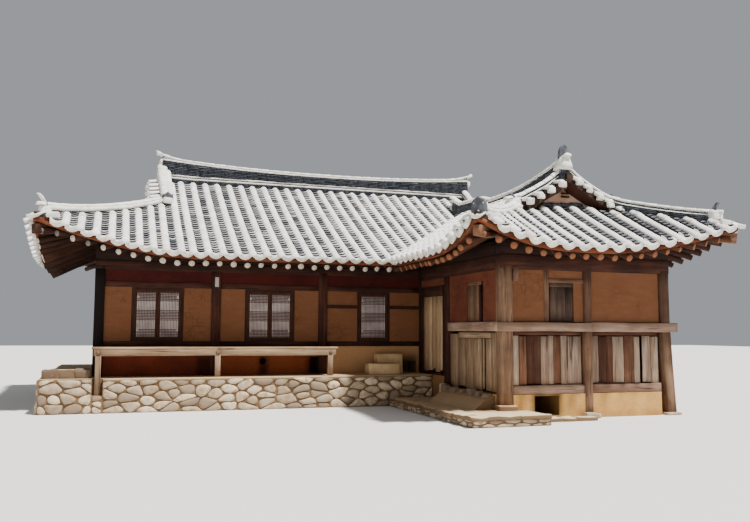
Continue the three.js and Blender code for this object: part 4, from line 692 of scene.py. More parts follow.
# Bare slip of pale paper, pasted high on the second post of the front. Nothing is
# written on it.
slip = Heap()
block(slip, spot(2.365, -0.014, 2.58), spot(2.445, -0.002, 2.79), 0.002, 0.002, 4)
slip_paper = Finish("bare_slip", 0.9)
slip_paper.colour(slip_paper.mix(slip_paper.noise(30.0), (190, 180, 172), (140, 128, 122)))
add_piece("bare_slip_on_post", slip, slip_paper, "pale_wood")


# Wall panels: mud and straw on wattle between the timbers, trowelled with an orange-brown
# coat. It has crazed, stained from the rain and rubbed pale in places.
def mud_wall(name, tone, stain, pale, shade):
    finish = Finish(name, 0.95)
    straw = finish.noise(95.0, 5.0, 0.75)
    cloud = finish.noise(1.3, 4.0, 0.6)
    trowel = finish.noise(3.2, 4.0, 0.6, finish.place.stretched(1.0, 1.0, 3.0))
    crazing = finish.node("ShaderNodeTexVoronoi", {"feature": "DISTANCE_TO_EDGE"}, {
        "Vector": finish.place, "Scale": 5.5})
    crack = (1 - crazing.above(0.012, 0.008)) * cloud.above(0.56, 0.05)
    mixed = finish.mix(cloud.above(0.5, 0.2), tone, stain)
    mixed = finish.mix(trowel.above(0.6, 0.16) * 0.22, mixed, pale)
    mixed = finish.mix(straw.above(0.56, 0.12) * 0.4, mixed, shade)
    finish.colour(finish.mix(crack * 0.7, mixed, shade))
    finish.relief(trowel * 0.6 + straw * 0.3 - crack * 0.6, 0.02, 0.6)
    return finish


warm_wall = mud_wall("orange_mud", (116, 77, 53), (110, 72, 49), (142, 104, 76), (66, 42, 30))
# the wing's left wall is darker and redder than the front walls: painted shade
shaded_side_wall = mud_wall("brown_mud", (108, 62, 44), (90, 48, 34), (132, 84, 62), (60, 32, 24))
# the upper front panels are dark red-brown as painted shade under the eaves; the left and back walls take the same
# finish
shaded_red_wall = mud_wall("red_mud", (72, 27, 22), (58, 20, 17), (88, 40, 32), (36, 14, 12))
dress(warm_wall, "front_wall_left_end", "front_wall_between_doors_1_2", "front_wall_between_doors_2_3",
      "front_wall_right_end", "right_wall", "wing_front_wall")
dress(shaded_side_wall, "wing_left_wall")
dress(shaded_red_wall, "front_wall_upper", "main_left_wall", "main_back_wall")


# Lattice doors: pine frames and leaves with paper pasted behind a lattice of thin bars.
# Upright bars stand close together, and cross bars are set in three groups.
frame_wood = Finish("door_frame_pine", 0.8)
frame_streak = frame_wood.noise(1.0, 5.0, 0.6, frame_wood.place.stretched(30, 30, 3.0))
frame_wood.colour(frame_wood.mix(frame_streak.above(0.5, 0.25), (62, 36, 24), (34, 19, 13)))
frame_wood.relief(frame_streak, 0.008, 0.5)
dress(frame_wood, "door_1_frame", "door_2_frame", "door_3_frame")
STILE, STILE_EDGE = 0.048, 0.0008


def paper_leaf(name, low, high):
    """The leaf's own frame is wood and its thin field is paper."""
    finish = Finish(name, 0.8)
    across = finish.along("X").between(low[0] + STILE - HOUSE.x, high[0] - STILE - HOUSE.x, STILE_EDGE)
    upward = finish.along("Z").between(low[2] + STILE, high[2] - STILE, STILE_EDGE)
    fibre = finish.noise(90.0, 5.0, 0.7)
    damp = finish.noise(3.5, 3.0)
    paper = finish.mix(damp.above(0.5, 0.2), (200, 188, 182), (166, 152, 148))
    paper = finish.mix(fibre.above(0.6, 0.15) * 0.3, paper, (226, 218, 212))
    streak = finish.noise(1.0, 5.0, 0.6, finish.place.stretched(40, 40, 3.0))
    wood = finish.mix(streak.above(0.5, 0.25), (76, 46, 32), (40, 23, 16))
    finish.colour(finish.mix(across * upward, wood, paper))
    finish.relief(streak, 0.004, 0.4)
    return finish


def grouping(name, along_path):
    """Geometry Nodes that set one form at each point, or at even steps along each path."""
    tree = bpy.data.node_groups.new(name, "GeometryNodeTree")
    for label, kind in (("Geometry", "Geometry"), ("Form", "Object"), ("Spacing", "Float"),
                        ("Unevenness", "Float"), ("Seed", "Int"), ("Finish", "Material")):
        tree.interface.new_socket(label, in_out="INPUT", socket_type="NodeSocket" + kind)
    tree.interface.new_socket("Geometry", in_out="OUTPUT", socket_type="NodeSocketGeometry")

    def node(kind, settings=None, sockets=None, out=0):
        made = tree.nodes.new(kind)
        for key, value in (settings or {}).items():
            setattr(made, key, value)
        for key, value in (sockets or {}).items():
            if isinstance(value, bpy.types.NodeSocket):
                tree.links.new(value, made.inputs[key])
            else:
                made.inputs[key].default_value = value
        return made.outputs[out]

    def maths(operation, *values):
        return node("ShaderNodeMath", {"operation": operation}, dict(enumerate(values)))

    given = tree.nodes.new("NodeGroupInput").outputs
    form = node("GeometryNodeObjectInfo", {}, {"Object": given["Form"]}, out="Geometry")
    if along_path:
        # the steps divide each row into whole tiles, none longer than the spacing
        path = node("GeometryNodeMeshToCurve", {}, {0: given["Geometry"]})
        reach = node("GeometryNodeSplineLength")
        step = maths("DIVIDE", reach, maths("CEIL", maths("DIVIDE", reach, given["Spacing"])))
        path = node("GeometryNodeResampleCurve", {"mode": "LENGTH"}, {
            "Curve": path, "Length": maths("MULTIPLY", step, 0.9995)})
        ahead = node("GeometryNodeInputTangent")
        turn = node("FunctionNodeAlignRotationToVector", {"axis": "X"}, {"Vector": ahead})
        turn = node("FunctionNodeAlignRotationToVector", {"axis": "Z", "pivot_axis": "X"},
                    {"Rotation": turn, "Vector": (0, 0, 1)})
        most, least = (node("ShaderNodeVectorMath", {"operation": "SCALE"}, {
            0: (way, way, way), "Scale": given["Unevenness"]}) for way in (1, -1))
        chance = node("FunctionNodeRandomValue", {"data_type": "FLOAT_VECTOR"}, {
            0: least, 1: most, "Seed": given["Seed"]})
        tilt = node("FunctionNodeEulerToRotation", {}, {0: chance})
        turn = node("FunctionNodeRotateRotation", {"rotation_space": "LOCAL"}, {0: turn, 1: tilt})
        set_out = node("GeometryNodeInstanceOnPoints", {}, {"Points": path, "Instance": form, "Rotation": turn})
    else:
        size = node("GeometryNodeInputNamedAttribute", {"data_type": "FLOAT_VECTOR"}, {"Name": "size"})
        set_out = node("GeometryNodeInstanceOnPoints", {}, {
            "Points": given["Geometry"], "Instance": form, "Scale": size})
    shade = node("FunctionNodeRandomValue", {"data_type": "FLOAT"}, {"Seed": given["Seed"]}, out=1)
    kept = node("GeometryNodeStoreNamedAttribute", {"data_type": "FLOAT", "domain": "INSTANCE"},
                {"Geometry": set_out, "Name": "tint", "Value": shade})
    real = node("GeometryNodeRealizeInstances", {}, {0: kept})
    done = node("GeometryNodeSetMaterial", {}, {"Geometry": real, "Material": given["Finish"]})
    tree.links.new(done, tree.nodes.new("NodeGroupOutput").inputs[0])
    return tree


def grown(name, host, tree, finish, slot, body="house", **inputs):
    """Runs the nodes on a host mesh and keeps the result as a plain mesh."""
    carrier = bpy.data.objects.new(name, host)
    bpy.context.scene.collection.objects.link(carrier)
    modifier = carrier.modifiers.new("grouping", "NODES")
    modifier.node_group = tree
    inputs["Finish"] = finish.material
    for item in tree.interface.items_tree:
        if item.in_out == "INPUT" and item.name in inputs:
            modifier[item.identifier] = inputs[item.name]
    evaluated = carrier.evaluated_get(bpy.context.evaluated_depsgraph_get())
    result = bpy.data.meshes.new_from_object(evaluated)
    carrier.modifiers.clear()
    carrier.data = result
    result.polygons.foreach_set("use_smooth", [True] * len(result.polygons))
    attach(carrier, body)


def template(name, points, faces):
    """A form for the nodes to repeat. It isn't a piece itself, so it stays out of the scene."""
    heap = Heap()
    heap.add(points, faces, 0.0)
    mesh = heap.mesh(name)
    mesh.attributes.remove(mesh.attributes["tint"])
    return bpy.data.objects.new(name, mesh)


bar_section = [(0.5, -0.36), (0.36, -0.5), (-0.36, -0.5), (-0.5, -0.36), (-0.5, 0.5), (0.5, 0.5)]
lattice_bar = template("lattice_bar", [(x, y, z) for z in (-0.5, 0.5) for x, y in bar_section], closed_skin(6, 2))
bars_at_points = grouping("lattice_bars", along_path=False)
bar_wood = Finish("lattice_pine", 0.8)
bar_streak = bar_wood.noise(1.0, 3.0, place=bar_wood.place.stretched(60, 60, 8))
bar_wood.colour(bar_wood.mix(bar_streak, (92, 66, 64), (58, 38, 38)))
BAR, CROSS_BAR, BAR_DEEP = 0.008, 0.015, 0.011
BAR_PITCH, CROSS_PITCH = 0.031, 0.033
LEAF_FACE = 0.074
CROSS_GROUPS = ((0.09, 5), (0.485, 7), (0.90, 6))
for leaf in ("door_1_left", "door_1_right", "door_2_left", "door_2_right", "door_3"):
    node = leaf + "_leaf"
    low, high = Vector(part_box(node)[0]), Vector(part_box(node)[1])
    dress(paper_leaf(node + "_paper", low, high), node)
    left, right = low.x + STILE, high.x - STILE
    foot, head = low.z + STILE, high.z - STILE
    wide, tall = right - left, head - foot
    gaps = round(wide / BAR_PITCH)
    face_y = HOUSE.y + LEAF_FACE - BAR_DEEP / 2
    places, sizes = [], []
    for i in range(1, gaps):
        places.append((left + wide * i / gaps, face_y, (foot + head) / 2))
        sizes.append((BAR, BAR_DEEP, tall))
    for middle, number in CROSS_GROUPS:
        for i in range(number):
            z = foot + tall * middle + (i - (number - 1) / 2) * CROSS_PITCH
            places.append(((left + right) / 2, face_y + 0.001, z))
            sizes.append((wide, BAR_DEEP, CROSS_BAR))
    host = bpy.data.meshes.new(node + "_lattice")
    host.from_pydata(places, [], [])
    host.attributes.new("size", "FLOAT_VECTOR", "POINT").data.foreach_set("vector", [v for size in sizes for v in size])
    grown(node + "_lattice", host, bars_at_points, bar_wood, "lattice_door", body=leaf, Form=lattice_bar, Seed=3)


# Kitchen door of wide upright boards, bare and bleached, nailed to two ledges inside.
# It turns on wooden pins at its near edge, and its boards have worn away at the foot.
bleached = old_wood("bleached_boards", (128, 98, 68), (204, 164, 124), (228, 200, 162), (200, 172, 132), 0.25, 0.7)
door_boards = Heap()
cuts = [-1.268, -1.045, -0.80, -0.60, -0.335, -0.108]
worn = (0.05, 0.012, 0.075, 0.03, 0.0)
for i, (y0, y1) in enumerate(zip(cuts, cuts[1:])):
    beam(door_boards, 7.216, 7.241, y0 + 0.003, y1 - 0.003, 0.728 + worn[i], 2.432, seed=700 + i, rough=0.0012)
for z in (1.05, 2.10):
    beam(door_boards, 7.242, 7.266, -1.06, -0.16, z, z + 0.085, seed=720 + int(z * 10), rough=0.001)
for foot, top in ((0.705, 0.80), (2.36, 2.455)):
    hewn(door_boards, spot(7.23, -1.25, foot), spot(7.23, -1.25, top), 0.021, 0.021, 730, 0.0, sides=10)
add_piece("kitchen_door_boards", door_boards, bleached, "pale_wood", body="kitchen_door", instead_of="kitchen_door")


# Board walls of the wing. Split boards of uneven width stand side by side in the frame,
# grey, red-brown or pale as each has weathered, with dark gaps.
sun_grey = old_wood("weathered_boards", (66, 36, 28), (156, 126, 104), (208, 188, 166), (150, 118, 90), 0.3)
red_brown = old_wood("red_brown_boards", (46, 22, 16), (116, 76, 56), (146, 106, 82), (120, 80, 60), 0.5)
side_tan = old_wood("side_boards", (72, 46, 33), (158, 126, 98), (198, 170, 136), (140, 108, 78), 0.35, 0.8)
front_boards, red_boards, left_boards = Heap(), Heap(), Heap()
front_widths = [
    # from and to along the wall, whether red-brown, and how dark
    (7.455, 7.575, False, 0.0), (7.58, 7.74, True, 0.0), (7.745, 8.04, True, 0.9), (8.045, 8.20, False, 0.15),
    (8.205, 8.325, False, 0.3), (8.33, 8.475, True, 0.1), (8.48, 8.61, False, 0.0), (8.615, 8.935, False, 0.4),
    (9.155, 9.33, False, 0.6), (9.335, 9.505, True, 1.0), (9.51, 9.65, True, 0.6), (9.655, 9.912, False, 0.0),
    (9.918, 10.145, True, 0.0), (10.15, 10.285, False, 0.1), (10.35, 10.54, False, 0.2), (10.545, 10.725, False, 0.0),
]
for i, (x0, x1, red, dark) in enumerate(front_widths):
    y, foot, top = -3.998 + 0.002 * (i % 3), 0.632 + 0.012 * (i % 3), 1.565 - 0.013 * (i % 2)
    boards = red_boards if red else front_boards
    beam(boards, x0, x1 - 0.006, y, -3.972, foot, top, seed=801 + i, rough=0.004, tint=dark)
for x0, x1 in ((7.415, 8.965), (9.145, 10.74)):
    beam(red_boards, x0, x1, -3.99, -3.93, 1.575, 1.645, seed=850 + int(x0), rough=0.003, tint=0.9)
add_piece("wing_front_board_wall", front_boards, sun_grey, "grey_wood", instead_of="wing_front_boards")
add_piece("wing_front_red_boards", red_boards, red_brown, "grey_wood")
for i, (y0, y1, top, dark) in enumerate([
    (-3.875, -3.56, 1.62, 0.25), (-3.555, -3.33, 1.50, 0.0), (-3.255, -3.20, 1.50, 0.0), (-3.13, -2.74, 1.50, 0.0),
    (-2.735, -2.40, 1.50, 0.3), (-2.39, -2.03, 1.50, 0.5), (-2.02, -1.65, 1.59, 0.35),
]):
    x, foot = 7.212 + 0.002 * (i % 2), 0.485 + 0.015 * (i % 3)
    beam(left_boards, x, 7.24, y0, y1, foot, top, seed=803 + i, rough=0.004, tint=dark)
beam(left_boards, 7.214, 7.246, -3.54, -2.06, 1.51, 1.62, seed=899, rough=0.003, tint=0.0)
add_piece("wing_left_board_wall", left_boards, side_tan, "grey_wood", instead_of="wing_left_boards")


# Plank shutters in the wing's two windows, of three upright planks each under a lintel.
# The front one is dark, and the left one has greyed like the timbers around it.
plank_grey = old_wood("shutter_planks", (34, 20, 18), (92, 70, 60), (132, 112, 98), (120, 98, 80), 0.7)
front_shutter, left_shutter = Heap(), Heap()
PLANK = 0.169
for i in range(3):
    x = 8.252 + PLANK * i
    beam(front_shutter, x, x + PLANK - 0.006, -4.015, -3.985, 1.832, 2.50, seed=820 + i, rough=0.002)
beam(front_shutter, 8.252, 8.758, -4.019, -3.983, 2.505, 2.578, seed=826, rough=0.002, tint=0.0)
add_piece("wing_front_shutter_planks", front_shutter, plank_grey, "grey_wood", instead_of="wing_front_shutter")
for i, (y0, y1, dark) in enumerate([(-3.12, -3.03, 1.8), (-3.025, -2.78, 0.15), (-2.775, -2.50, 0.3)]):
    beam(left_shutter, 7.224, 7.256, y0 + 0.002, y1 - 0.002, 1.832, 2.57, seed=830 + i, rough=0.002, tint=dark)
beam(left_shutter, 7.216, 7.259, -3.12, -2.502, 2.575, 2.638, seed=836, rough=0.002, tint=0.0)
add_piece("wing_left_shutter_planks", left_shutter, greyed, "grey_wood", instead_of="wing_left_shutter")


# Long bench of pale planks on squared legs, with an apron beam along its front edge.
# The legs pass up through the beam, and their sawn heads show as dark squares.
bench_wood = old_wood("bench_planks", (84, 62, 44), (138, 112, 86), (176, 152, 124), (140, 106, 74), 0.3, 0.8)
bench = Heap()
rows = [-0.73, -0.58, -0.44, -0.29, -0.15, -0.002]
butts = (0.0, 0.35, -0.2, 0.15, -0.3)
for i, (y0, y1) in enumerate(zip(rows, rows[1:])):
    middle = 2.37 + butts[i]
    for start, end, seed in ((-0.10, middle, 900 + i), (middle + 0.004, 4.95, 910 + i)):
        beam(bench, start, end, y0 + 0.002, y1 - 0.003, 1.25, 1.29, seed=seed, rough=0.002, tint=0.15 * (i % 3))
beam(bench, -0.06, 2.372, -0.722, -0.642, 1.115, 1.255, seed=920, rough=0.006, tint=0.35)
beam(bench, 2.376, 4.91, -0.722, -0.642, 1.11, 1.25, seed=921, rough=0.006, tint=0.25)
for i, (x, foot) in enumerate(((0.03, 0.34), (2.37, 0.67), (4.79, 0.67))):
    beam(bench, x - 0.056, x + 0.056, -0.727, -0.648, foot, 1.13, seed=930 + i, rough=0.004, tint=0.5)
    beam(bench, x - 0.036, x + 0.036, -0.738, -0.66, 1.14, 1.22, seed=940 + i, rough=0.001, tint=1.0)
add_piece("bench_planks", bench, bench_wood, "pale_wood", instead_of="bench")


# Round logs under the eaves, with an eave board along their tips. The logs fan out at the
# hip corners, where a squared hip timber takes the last ones. Their sawn ends are pale.
def height_over(*nodes):
    """Answers how high the top of these pieces stands over a place in the plan."""
    trees = []
    for node in nodes:
        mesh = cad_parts[node].data
        trees.append(BVHTree.FromPolygons([v.co for v in mesh.vertices], [p.vertices for p in mesh.polygons]))

    def ask(x, y, from_below=False):
        here = spot(x, y, 0 if from_below else 9)
        hits = [tree.ray_cast(here, UP if from_below else -UP)[0] for tree in trees]
        hits = [hit.z for hit in hits if hit]
        return (min(hits) if from_below else max(hits)) if hits else None

    return ask


# Each eave starts at a corner in the plan and runs along the wall, with the house on one
# side. Corners are how far in the wall of the next side stands, at its start and its end.
Eave = namedtuple("Eave", "slope rafters start run into length wall corners")
eaves = {side: Eave(*values) for side, values in {
    "front": ("main_front_slope", "main_front_rafters", (-1.24, -0.93), (1, 0), (0, 1), 7.46, 0.93, (1.14, 0)),
    "left": ("main_left_slope", "main_left_rafters", (-1.24, 6.93), (0, -1), (1, 0), 7.86, 1.14, (0.93, 0.93)),
    "back": ("main_back_slope", "main_back_rafters", (11.90, 6.93), (-1, 0), (0, -1), 13.14, 0.93, (0.93, 1.14)),
    "right": ("right_slope", "right_rafters", (11.90, -5.01), (0, 1), (-1, 0), 11.94, 0.93, (0.93, 0.93)),
    "wing_left": ("wing_left_slope", "wing_left_rafters", (6.22, -0.93), (0, -1), (1, 0), 4.08, 0.93, (0, 0.93)),
    "wing_front": ("wing_front_slope", "wing_front_rafters", (6.22, -5.01), (1, 0), (0, 1), 5.68, 0.93, (0.93, 0.93)),
}.items()}


def from_eave(side, along, inward):
    eave = eaves[side]
    return [eave.start[k] + eave.run[k] * along + eave.into[k] * inward for k in range(2)]


log_wood = old_wood("log_pine", (28, 16, 12), (62, 37, 27), (88, 56, 40), (206, 194, 176), 0.5)
wing_log_wood = old_wood("wing_log_pine", (42, 23, 16), (84, 51, 35), (112, 73, 51), (136, 89, 62), 0.5)
fascia_wood = old_wood("eave_board", (54, 25, 16), (112, 58, 35), (146, 86, 54), (160, 100, 60), 0.5)
LOG_PITCH, LOG_INNER, LOG_SPREAD, LOG = 0.292, 0.42, 0.15, 0.120
NEAR, FAR, ROOT, TIP_LIFT = 0.12, 0.80, 0.97, 0.062
HIP_WIDE, HIP_STOPS = 0.168, (0.035, 0.7, 1.35, 2.0)
DIAGONAL = 0.7071
uneven = random.Random(19)
# each corner's place in the plan, the way in from it, the eave that owns it and its timber's height
diagonals = [
    (-1.24, -0.93, 1, 1, "front", 0.195), (6.22, -0.93, 1, 1, "front", 0.118), (-1.24, 6.93, 1, -1, "back", 0.195),
    (11.90, 6.93, -1, -1, "back", 0.195), (6.22, -5.01, 1, 1, "wing_front", 0.195),
    (11.90, -5.01, -1, 1, "wing_front", 0.195),
]


def eave_logs(number, side, under):
    """Logs at even steps, splayed beside a hip, that lie on the plain piece's own underside."""
    eave, logs = eaves[side], Heap()
    count = round(eave.length / LOG_PITCH)
    for i in range(count):
        along = inner = eave.length * (i + 0.5) / count
        if eave.corners[0]:
            inner = max(inner, eave.corners[0] + LOG_INNER + LOG_SPREAD * i)
        if eave.corners[1]:
            inner = min(inner, eave.length - eave.corners[1] - LOG_INNER - LOG_SPREAD * (count - 1 - i))
        tip = Vector(from_eave(side, along, 0.035 + uneven.uniform(-0.02, 0.03)))
        root = Vector(from_eave(side, inner, eave.wall + LOG_INNER))
        z_near, z_far = (under(*tip.lerp(root, part), from_below=True) for part in (NEAR, FAR))
        if z_near is None or z_far is None:
            continue
        rise = (z_far - z_near) / (FAR - NEAR)
        z_tip = z_near - NEAR * rise + TIP_LIFT
        girth = LOG + uneven.uniform(-0.01, 0.012)
        # three of the first logs at the front eave's left corner get dark ends and darker sides: painted shade
        painted_shade_end = side == "front" and i in (0, 1, 3)
        tint = 1.0 if painted_shade_end else uneven.uniform(0, 0.85)
        hewn(logs, spot(*tip, z_tip), spot(*tip.lerp(root, ROOT), z_tip + rise * ROOT), girth, girth,
             2000 + 100 * number + i, 0.006, sides=12, tint=tint)
    return logs


def hip_timbers(side, under):
    hips = Heap()
    for corner_x, corner_y, turn_x, turn_y, owner, tall in diagonals:
        if owner == side:
            places = [Vector((corner_x + turn_x * r * DIAGONAL, corner_y + turn_y * r * DIAGONAL)) for r in HIP_STOPS]
            feet = [spot(*place, under(*place, from_below=True) + tall / 2) for place in places]
            for k, (start, end) in enumerate(zip(feet, feet[1:])):
                hewn(hips, start, end + (end - start) * 0.02, HIP_WIDE, tall - 0.004, 3000 + k, 0.004, tint=0.4)
    return hips


def eave_board(number, side, over):
    """A board under the tiles along the tips of the logs, in lengths that butt."""
    length, band, stations = eaves[side].length, Heap(), []
    steps = int(length / 0.25)
    for i in range(steps + 1):
        along = 0.02 + (length - 0.04) * i / steps
        top = over(*from_eave(side, along, 0.012))
        if top is not None:
            stations.append((along, top))
    section = ((0.05, -0.187), (-0.004, -0.187), (-0.010, -0.18), (-0.010, -0.085), (0.05, -0.085))
    for first in range(0, len(stations) - 1, 11):
        board = stations[first:first + 12]
        points, wood = [], []
        for along, top in board:
            for inward, height in section:
                points.append(spot(*from_eave(side, along, inward), top + height))
                wood.append((along, inward, top + height + number))
        if len(board) > 1:
            band.add(points, closed_skin(len(section), len(board)), 0.2 + 0.3 * (first % 3) / 2, wood=wood)
    return band


for number, (side, eave) in enumerate(eaves.items()):
    in_wing = "wing" in side
    under = height_over(eave.rafters)
    add_piece(eave.rafters + "_logs", eave_logs(number, side, under), wing_log_wood if in_wing else log_wood,
              "grey_wood", instead_of=eave.rafters)
    hips = hip_timbers(side, under)
    if hips.points:
        add_piece(eave.rafters + "_diagonals", hips, greyed if in_wing else smoked, "dark_wood")
    board = eave_board(number, side, height_over(eave.slope))
    add_piece(eave.rafters + "_board", board, fascia_wood, "pale_wood")


# Tiled slopes. Concave trough tiles lap closely up the roof on a bed of mud, and half-round
# cover tiles close the joints between them. Lime plaster plugs each cover row at the eave.
bedding = Finish("tile_bedding", 0.9)
bed_lump = bedding.noise(14.0, 5.0, 0.6)
lumps = bed_lump.above(0.5, 0.2)
bed_top = bedding.mix(lumps, (70, 74, 80), (38, 42, 48))
bed_under = bedding.mix(lumps, (92, 56, 38), (56, 33, 23))
# painted shade: undersides higher than 3.9 m, under the verges, are darker, and the edges are dark brown
bed_under = bedding.mix(bedding.along("Z").above(3.9, 0.1), bed_under, (68, 42, 32))
bed_edge = bedding.mix(lumps, (72, 54, 44), (36, 27, 23))
bed_tone = bedding.mix(bedding.facing("Z").above(0.3, 0.05), bed_edge, bed_top)
bedding.colour(bedding.mix(bedding.facing("Z").above(-0.3, 0.05), bed_under, bed_tone))
bedding.relief(bed_lump, 0.02, 0.7)
dress(bedding, *(eave.slope for eave in eaves.values()))

cover_clay = Finish("cover_tile", 0.75)
cover_cloud = cover_clay.noise(5.0, 5.0, 0.65)
cover_fleck = cover_clay.noise(42.0, 4.0, 0.7)
cover_tone = cover_clay.mix(cover_clay.own("tint"), (250, 248, 243), (226, 224, 220))
cover_tone = cover_clay.mix(cover_cloud.above(0.62, 0.08) * 0.4, cover_tone, (160, 160, 162))
cover_clay.colour(cover_clay.mix(cover_fleck.above(0.68, 0.05) * 0.5, cover_tone, (96, 96, 98)))
cover_clay.relief(cover_cloud * 0.5 + cover_fleck * 0.5, 0.01, 0.5)

trough_clay = Finish("trough_tile", 0.85)
trough_cloud = trough_clay.noise(6.0, 5.0, 0.65)
# the dark end of the tile tones and the dark clouds are partly painted shade in the troughs, partly the tiles' own
# colour
trough_tone = trough_clay.mix(trough_clay.own("tint"), (200, 198, 196), (84, 88, 96))
trough_tone = trough_clay.mix(trough_cloud.above(0.56, 0.1) * 0.5, trough_tone, (90, 94, 102))
# painted shade: troughs in front of y -3.25 and right of x 6.9, on the wing, are darker
wing_trough_shade = (1 - trough_clay.along("Y").above(-3.25, 0.1)) * trough_clay.along("X").above(6.9, 0.5)
trough_tone = trough_clay.mix(wing_trough_shade * 0.8, trough_tone, (58, 60, 68))
# painted shade: faces that do not face up, the fronts of the troughs, are near black
trough_clay.colour(trough_clay.mix(trough_clay.facing("Z").above(0.45, 0.15), (16, 18, 22), trough_tone))
trough_clay.relief(trough_cloud, 0.01, 0.5)

lime = Finish("lime_plaster", 0.9)
lime_lump = lime.noise(9.0, 5.0, 0.6)
lime_stain = lime.noise(4.0, 4.0, 0.65, lime.place.stretched(1, 1, 2.5))
lime_tone = lime.mix(lime_stain.above(0.56, 0.12) * 0.6, (234, 230, 222), (158, 154, 148))
lime.colour(lime.mix(lime_lump.above(0.68, 0.06) * 0.5, lime_tone, (98, 92, 88)))
lime.relief(lime_lump * 0.6 + lime_stain * 0.4, 0.03, 0.7)

# stations along a half-round form: the place and the share of its full size there
LAPPED = ((-0.5, 1.05), (-0.4, 1.0), (0.5, 0.94))
PLUGGED = ((-0.5, 0.9), (-0.2, 1.0), (0.5, 1.0))
DOMED = ((-0.5, 1.0), (0.0, 0.97), (0.25, 0.82), (0.42, 0.52), (0.5, 0.14))


def half_round(length, wide, high, stations=LAPPED, arc=6):
    """A half-round form. A tile is a little wider at its lower end (-x), where it laps the next."""
    turns = [math.pi * k / arc for k in range(arc + 1)]
    points = [(x * length, math.cos(turn) * wide / 2 * scale, math.sin(turn) * high * scale)
              for x, scale in stations for turn in turns]
    return points, closed_skin(arc + 1, len(stations))


def hollow_plate(length, wide, dish, front, back, lift, across=3):
    """A dished tile, thick at its exposed lower edge (-x)."""
    points = []
    for x, thick, raised in ((-length / 2, front, lift), (length / 2, back, 0.0)):
        for under in (0.0, thick):
            for k in range(across + 1):
                s = 2 * k / across - 1
                points.append((x, s * wide / 2, dish * s * s + raised - under))
    n = across + 1
    faces = []
    for k in range(across):
        faces += [(k, k + 1, 2 * n + k + 1, 2 * n + k), (n + k, 3 * n + k, 3 * n + k + 1, n + k + 1),
                  (k, n + k, n + k + 1, k + 1), (2 * n + k, 2 * n + k + 1, 3 * n + k + 1, 3 * n + k)]
    faces += [(0, 2 * n, 3 * n, n), (across, n + across, 3 * n + across, 2 * n + across)]
    return points, faces


def set_form(heap, form, origin, ahead, tint, roll=0.0):
    """Sets one form down with its length along a direction."""
    ahead = ahead.normalized()
    left = UP.cross(ahead).normalized()
    over = ahead.cross(left)
    if roll:
        turn = Matrix.Rotation(roll, 3, ahead)
        left, over = turn @ left, turn @ over
    heap.add([origin + ahead * x + left * y + over * z for x, y, z in form[0]], form[1], tint)


TILE = 0.315
PLUG = half_round(0.05, 0.172, 0.082, PLUGGED)
HEAD = half_round(0.19, 0.176, 0.088, DOMED)
DRIP = hollow_plate(0.13, 0.275, 0.075, 0.115, 0.05, 0.0, across=6)
cover_form = template("cover_tile", *half_round(TILE, 0.178, 0.086))
trough_form = template("trough_tile", *hollow_plate(0.17, 0.17, 0.022, 0.048, 0.004, 0.036))
along_rows = grouping("tiles_along_rows", along_path=True)
COVER_LAP, TROUGH_LAP = 0.29, 0.142
ROW_PITCH, ROW_STEP = 0.302, 0.06

# rows of cover tiles, by their distance along the eave. Those of the left corner and of the
# wing's front stand as they do on the house, and the others at an even pitch
left_rows = [-0.94, -0.666, -0.388, -0.09, 0.193, 0.46, 0.729, 1.0, 1.255, 1.552]
front_rows = left_rows + [x for x in (1.79 + ROW_PITCH * i for i in range(28)) if x < 10.0]
wing_rows = [6.57, 6.893, 7.194, 7.501, 7.835, 8.175, 8.516, 8.874, 9.257, 9.621, 9.993, 10.398, 10.783, 11.12, 11.462]
row_places = {
    "front": [x - eaves["front"].start[0] for x in front_rows],
    "left": [0.30 + ROW_PITCH * i for i in range(25)],
    "back": [0.26 + ROW_PITCH * i for i in range(43)],
    "right": [0.30 + 0.3065 * i for i in range(38)],
    "wing_left": [-2.72 + ROW_PITCH * i for i in range(22)],
    "wing_front": [x - eaves["wing_front"].start[0] for x in wing_rows],
}


def anywhere(x, y):
    return True


def on_main(x, y):
    """Whether a row may pass here, between the hips and the ridges beside the verges."""
    if x < 1.40:
        return x + 0.31 > y or y > 5.69 - x
    return x < 9.58 or y < 1.24 or y > max(x - 4.97, 4.9)


def in_front_of_ridge(x, y):
    return on_main(x, y) and y <= 2.93


def beside_wing_gable(x, y):
    return y > -3.09 or x < 7.80 or x > 10.32


may_pass = {
    "front": in_front_of_ridge, "back": on_main, "left": anywhere,
    "right": beside_wing_gable, "wing_left": beside_wing_gable, "wing_front": anywhere,
}


def cut_at_top(side, along):
    """How far under its slope's top a cover row stops: further where it meets a hip's ridge."""
    by_a_hip = along < 2.9 if side in ("front", "left") else side == "wing_front" and along > 3.5
    return 0.30 if by_a_hip else 0.20


def row_line(side, over, along, cut_top, overhang=0.06):
    """A row's course up the slope, from beyond the eave or from the valley to near its top."""
    found, first = [], None
    for i in range(100):
        x, y = from_eave(side, along, 0.012 + ROW_STEP * i)
        z = over(x, y) if may_pass[side](x, y) else None
        if z is not None:
            found.append(spot(x, y, z))
            first = i if first is None else first
        elif found:
            break
    if len(found) < 5:
        return []
    if first == 0:
        found.insert(0, found[0] - (found[1] - found[0]).normalized() * overhang)
    else:
        found = found[2:]
    keep = len(found) - round(cut_top / ROW_STEP)
    return found[:keep] if keep > 2 else []


def lines_mesh(name, lines, lift=0.0):
    points, edges = [], []
    for line in lines:
        edges += [(len(points) + i, len(points) + i + 1) for i in range(len(line) - 1)]
        points += [tuple(p + UP * lift) for p in line]
    mesh = bpy.data.meshes.new(name)
    mesh.from_pydata(points, edges, [])
    return mesh


